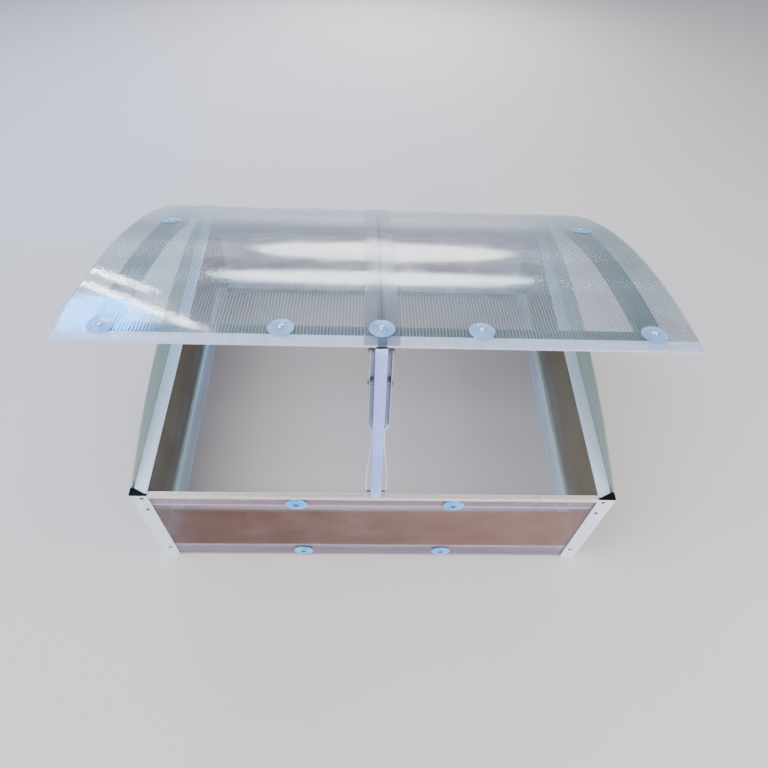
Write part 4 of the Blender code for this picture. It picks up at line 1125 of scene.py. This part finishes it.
# ------------------------------------------------------------------ the stay
@dataclass
class FoldingStay:
    """The stay: a tube in a channel, with its bolts and the two spring straps at its foot."""

    palette: Palette
    fixings: Fixings
    tube_wall: float = 0.0012
    dip_share: float = 0.050
    nut_gap: float = 0.0042
    head_depth: float = 0.0029
    shank_radius: float = 0.0026

    def __post_init__(self) -> None:
        """Set the stay's own axes from its two bolts: up along the tube, back across it."""
        self.pivot = self.middle("stay_pivot_bolt")
        self.up = (self.pivot - self.middle("stay_channel_bolt")).normalized()
        self.back = Vector((0.0, self.up.z, -self.up.y))

    @staticmethod
    def middle(node: str) -> Vector:
        """Middle of a node's box."""
        low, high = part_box(node)
        return (low + high) / 2

    def place(self, x: Array, y: Array, z: Array) -> Array:
        """Places from the stay's own coordinates: across, backwards and up from the pivot."""
        x, y, z = np.broadcast_arrays(x, y, z)
        across = np.array((1.0, 0.0, 0.0))
        return (np.array(self.pivot) + x[..., None] * across + y[..., None] * np.array(self.back)
                + z[..., None] * np.array(self.up))

    def own(self, node: str) -> Array:
        """A node's vertices in the stay's own coordinates."""
        moved = node_points(node) - np.array(self.pivot)
        return np.stack([moved[:, 0], moved @ np.array(self.back), moved @ np.array(self.up)], -1)

    def build(self) -> None:
        """Build every piece of the stay."""
        self.build_tube()
        piece = softened_copy("stay_channel", "stay_channel_dressed", 0.0004)
        settle(piece, "stay", [self.palette.channel], ["stay_channel"])
        self.build_bolts()
        self.build_straps()

    def build_tube(self) -> None:
        """Hollow tube with round corners, square at its top and mitred at its foot.

        The foot's height changes evenly from the front face to the back face, as in the construction.
        """
        points = self.own("stay_tube")
        low, high = points.min(0), points.max(0)
        front = points[points[:, 1] < low[1] + 1e-4][:, 2].min()
        back = points[points[:, 1] > high[1] - 1e-4][:, 2].min()
        stations = np.concatenate([[0.0, self.dip_share], np.linspace(2 * self.dip_share, 1, 23)])
        shells = []
        for inset, radius in ((0.0, 0.0016), (self.tube_wall, 0.0008)):
            corners = np.array([(low[0] + inset, low[1] + inset), (high[0] - inset, low[1] + inset),
                                (high[0] - inset, high[1] - inset), (low[0] + inset, high[1] - inset)])
            outline = rounded(corners, radius, 4)
            foot = front + (back - front) * (outline[:, 1] - low[1]) / (high[1] - low[1])
            z = foot[None] + (high[2] - foot[None]) * stations[:, None]
            shells.append(self.place(outline[None, :, 0], outline[None, :, 1], z))
        rings = np.concatenate([shells[0], shells[1][::-1]])
        places, (quads,) = swept(rings, capped=False)
        around = rings.shape[1]
        piece = put_mesh("stay_tube_hollow", places, [quads[:around], quads[around:]], [1, 0], 40)
        settle(piece, "stay", [self.palette.tube, self.palette.dip], ["stay_tube"])

    def build_bolts(self) -> None:
        """Bolts through the channel, with hexagon heads outside and nuts beside the tube."""
        tube = self.own("stay_tube")
        half = tube[:, 0].max()
        for name in ("stay_pivot_bolt", "stay_channel_bolt"):
            own = self.own(name)
            low, high = own.min(0), own.max(0)
            z = (low[2] + high[2]) / 2
            shank = [(self.shank_radius, low[0] + self.head_depth),
                     (self.shank_radius, high[0] - self.head_depth)]
            place = Vector(self.place(np.array(0.0), np.array(0.0), np.array(z)))
            piece = put_mesh(f"{name}_shank", *lathed(shank, place, Vector((1, 0, 0)), 20))
            settle(piece, "stay", [self.palette.zinc], [name])
            for side, way in (("left", -1), ("right", 1)):
                reach = (high[0] if way > 0 else -low[0]) - self.head_depth
                self.fixings.hexagon(f"{name}_head_{side}", "stay", place + Vector((way * reach, 0, 0)),
                                     Vector((way, 0, 0)), 0.0049, 0.0022)
                seat = place + Vector((way * (half + self.nut_gap), 0, 0))
                self.fixings.hexagon(f"{name}_nut_{side}", "stay", seat, Vector((way, 0, 0)), 0.0046, 0.0030)

    def build_straps(self) -> None:
        """Spring straps with softened edges, and the cross pin with its heads."""
        for side in ("left", "right"):
            node = f"stay_strap_{side}"
            piece = softened_copy(node, f"{node}_dressed", 0.0003)
            settle(piece, "stay", [self.palette.coated[Grain.ALONG_Z]], [node])
        own = self.own("stay_cross_pin")
        low, high = own.min(0), own.max(0)
        place = Vector(self.place(np.array(0.0), np.array((low[1] + high[1]) / 2),
                                  np.array((low[2] + high[2]) / 2)))
        head, neck = 0.0034, 0.0019
        profile = [(0.0008, low[0]), (head * 0.8, low[0] + 0.0002), (head, low[0] + 0.0008),
                   (head, low[0] + 0.0019), (neck, low[0] + 0.0020), (neck, high[0] - 0.0020),
                   (head, high[0] - 0.0019), (head, high[0] - 0.0008), (head * 0.8, high[0] - 0.0002),
                   (0.0008, high[0])]
        piece = put_mesh("stay_cross_pin_turned", *lathed(profile, place, Vector((1, 0, 0)), 20))
        settle(piece, "stay", [self.palette.zinc], ["stay_cross_pin"])


# ------------------------------------------------------------------ studio
@dataclass
class Studio:
    """Camera, pale floor and soft light."""

    camera_place: tuple[float, float, float] = (-0.034, -1.03805, 1.475)
    yaw: float = math.radians(-3.53)
    pitch: float = math.radians(-53.15)
    roll: float = math.radians(-3.74)
    lens: float = 29.236
    floor_half: float = 12.0
    clear_layers: int = 48

    def build(self) -> None:
        """Place the camera, the floor and the lights."""
        bpy.context.scene.cycles.transparent_max_bounces = self.clear_layers
        self.build_camera()
        self.build_floor()
        self.build_world()
        self.softbox("key", (-1.4, -0.9, 2.6), (0.0, 0.0, 0.2), (2.4, 1.6), 92.0, (0.93, 0.96, 1.0))
        self.softbox("fill", (2.2, -0.6, 1.9), (0.0, 0.0, 0.3), (1.8, 1.8), 38.0, (1.0, 0.96, 0.93))
        self.softbox("front", (1.3, -2.8, 0.9), (0.1, -0.4, 0.2), (1.8, 1.0), 92.0, (0.90, 0.95, 1.0))
        self.softbox("low_band", (0.10, 2.88, 0.78), (0.0, 0.0, 0.6), (1.7, 0.46), 24.0, (1.0, 0.95, 0.97),
                     shape="ELLIPSE")
        self.softbox("high_band", (0.03, 2.66, 1.37), (0.0, 0.0, 0.6), (2.1, 0.24), 28.0, (0.80, 0.93, 1.0),
                     shape="ELLIPSE")
        self.softbox("corner_glow", (-1.66, 2.12, 1.98), (-0.48, -0.30, 0.68), (0.62, 0.62), 60.0,
                     (0.04, 0.32, 1.0), shape="ELLIPSE")
        self.softbox("long_streak", (-1.39, 2.264, 1.872), (-0.43, -0.27, 0.68), (1.01, 0.025), 10.0,
                     (0.95, 0.98, 1.0), (0.694, -0.263, 0.689))
        self.softbox("short_streak", (-1.535, 2.480, 1.470), (-0.47, -0.20, 0.66), (0.50, 0.02), 5.0,
                     (0.95, 0.98, 1.0), (0.331, -0.087, 0.359))

    def build_camera(self) -> None:
        """Camera at standing height, turned, tipped down and rolled by its three angles."""
        data = bpy.data.cameras.new("camera")
        data.sensor_width = 36.0
        data.lens = self.lens
        data.clip_start = 0.01
        camera = bpy.data.objects.new("camera", data)
        bpy.context.scene.collection.objects.link(camera)
        turn = (Matrix.Rotation(self.yaw, 4, "Z") @ Matrix.Rotation(self.pitch, 4, "X")
                @ Matrix.Rotation(self.roll, 4, "Y"))
        look = Matrix.Rotation(math.radians(90), 4, "X")
        camera.matrix_world = Matrix.Translation(self.camera_place) @ turn @ look
        bpy.context.scene.camera = camera

    def build_floor(self) -> None:
        """Large pale floor with faint clouds."""
        half = self.floor_half
        points = np.array([(-half, -half, 0), (half, -half, 0), (half, half, 0), (-half, half, 0)], float)
        mesh = bpy.data.meshes.new("floor")
        mesh.from_pydata(points.tolist(), [], [(0, 1, 2, 3)])
        floor = bpy.data.objects.new("floor", mesh)
        bpy.context.scene.collection.objects.link(floor)
        wiring = Wiring("pale_floor")
        colour = wiring.blend(wiring.noise(1.5, 3.0), (0.62, 0.55, 0.52), (0.66, 0.59, 0.56))
        shader = wiring.node("ShaderNodeBsdfPrincipled", {"Base Color": colour, "Roughness": 0.75})
        mesh.materials.append(wiring.finish(shader))

    def build_world(self) -> None:
        """Even pale sky."""
        world = bpy.data.worlds.new("soft_sky")
        bpy.context.scene.world = world
        world.use_nodes = True
        sky = world.node_tree.nodes["Background"]
        sky.inputs["Color"].default_value = (0.80, 0.86, 0.98, 1.0)
        sky.inputs["Strength"].default_value = 0.62

    def softbox(self, name: str, place: Sequence[float], target: Sequence[float], size: tuple[float, float],
                power: float, colour: Colour, along: Sequence[float] = (1.0, 0.0, 0.0),
                shape: str = "RECTANGLE") -> None:
        """Soft light aimed at a point and hidden from the camera.

        Args:
            name: Name of the light.
            place: Where it stands.
            target: What it faces.
            size: Width and height.
            power: Watts.
            colour: Its colour.
            along: Direction of its width.
            shape: Outline of the light.
        """
        data = bpy.data.lights.new(name, "AREA")
        data.shape = shape
        data.size, data.size_y = size
        data.energy = power
        data.color = colour
        light = bpy.data.objects.new(name, data)
        bpy.context.scene.collection.objects.link(light)
        back = (Vector(place) - Vector(target)).normalized()
        up = back.cross(Vector(along)).normalized()
        turn = Matrix((up.cross(back), up, back)).transposed().to_4x4()
        light.matrix_world = Matrix.Translation(place) @ turn
        light.visible_camera = False


def main() -> None:
    """Build the studio, then the box, the roof and the stay."""
    logging.basicConfig(level=logging.INFO, format="%(message)s")
    Studio().build()
    palette = Palette()
    fixings = Fixings(palette)
    for part in (BaseBox(palette, fixings), ArchedRoof(palette, fixings), FoldingStay(palette, fixings)):
        part.build()


if __name__ == "__main__":
    main()
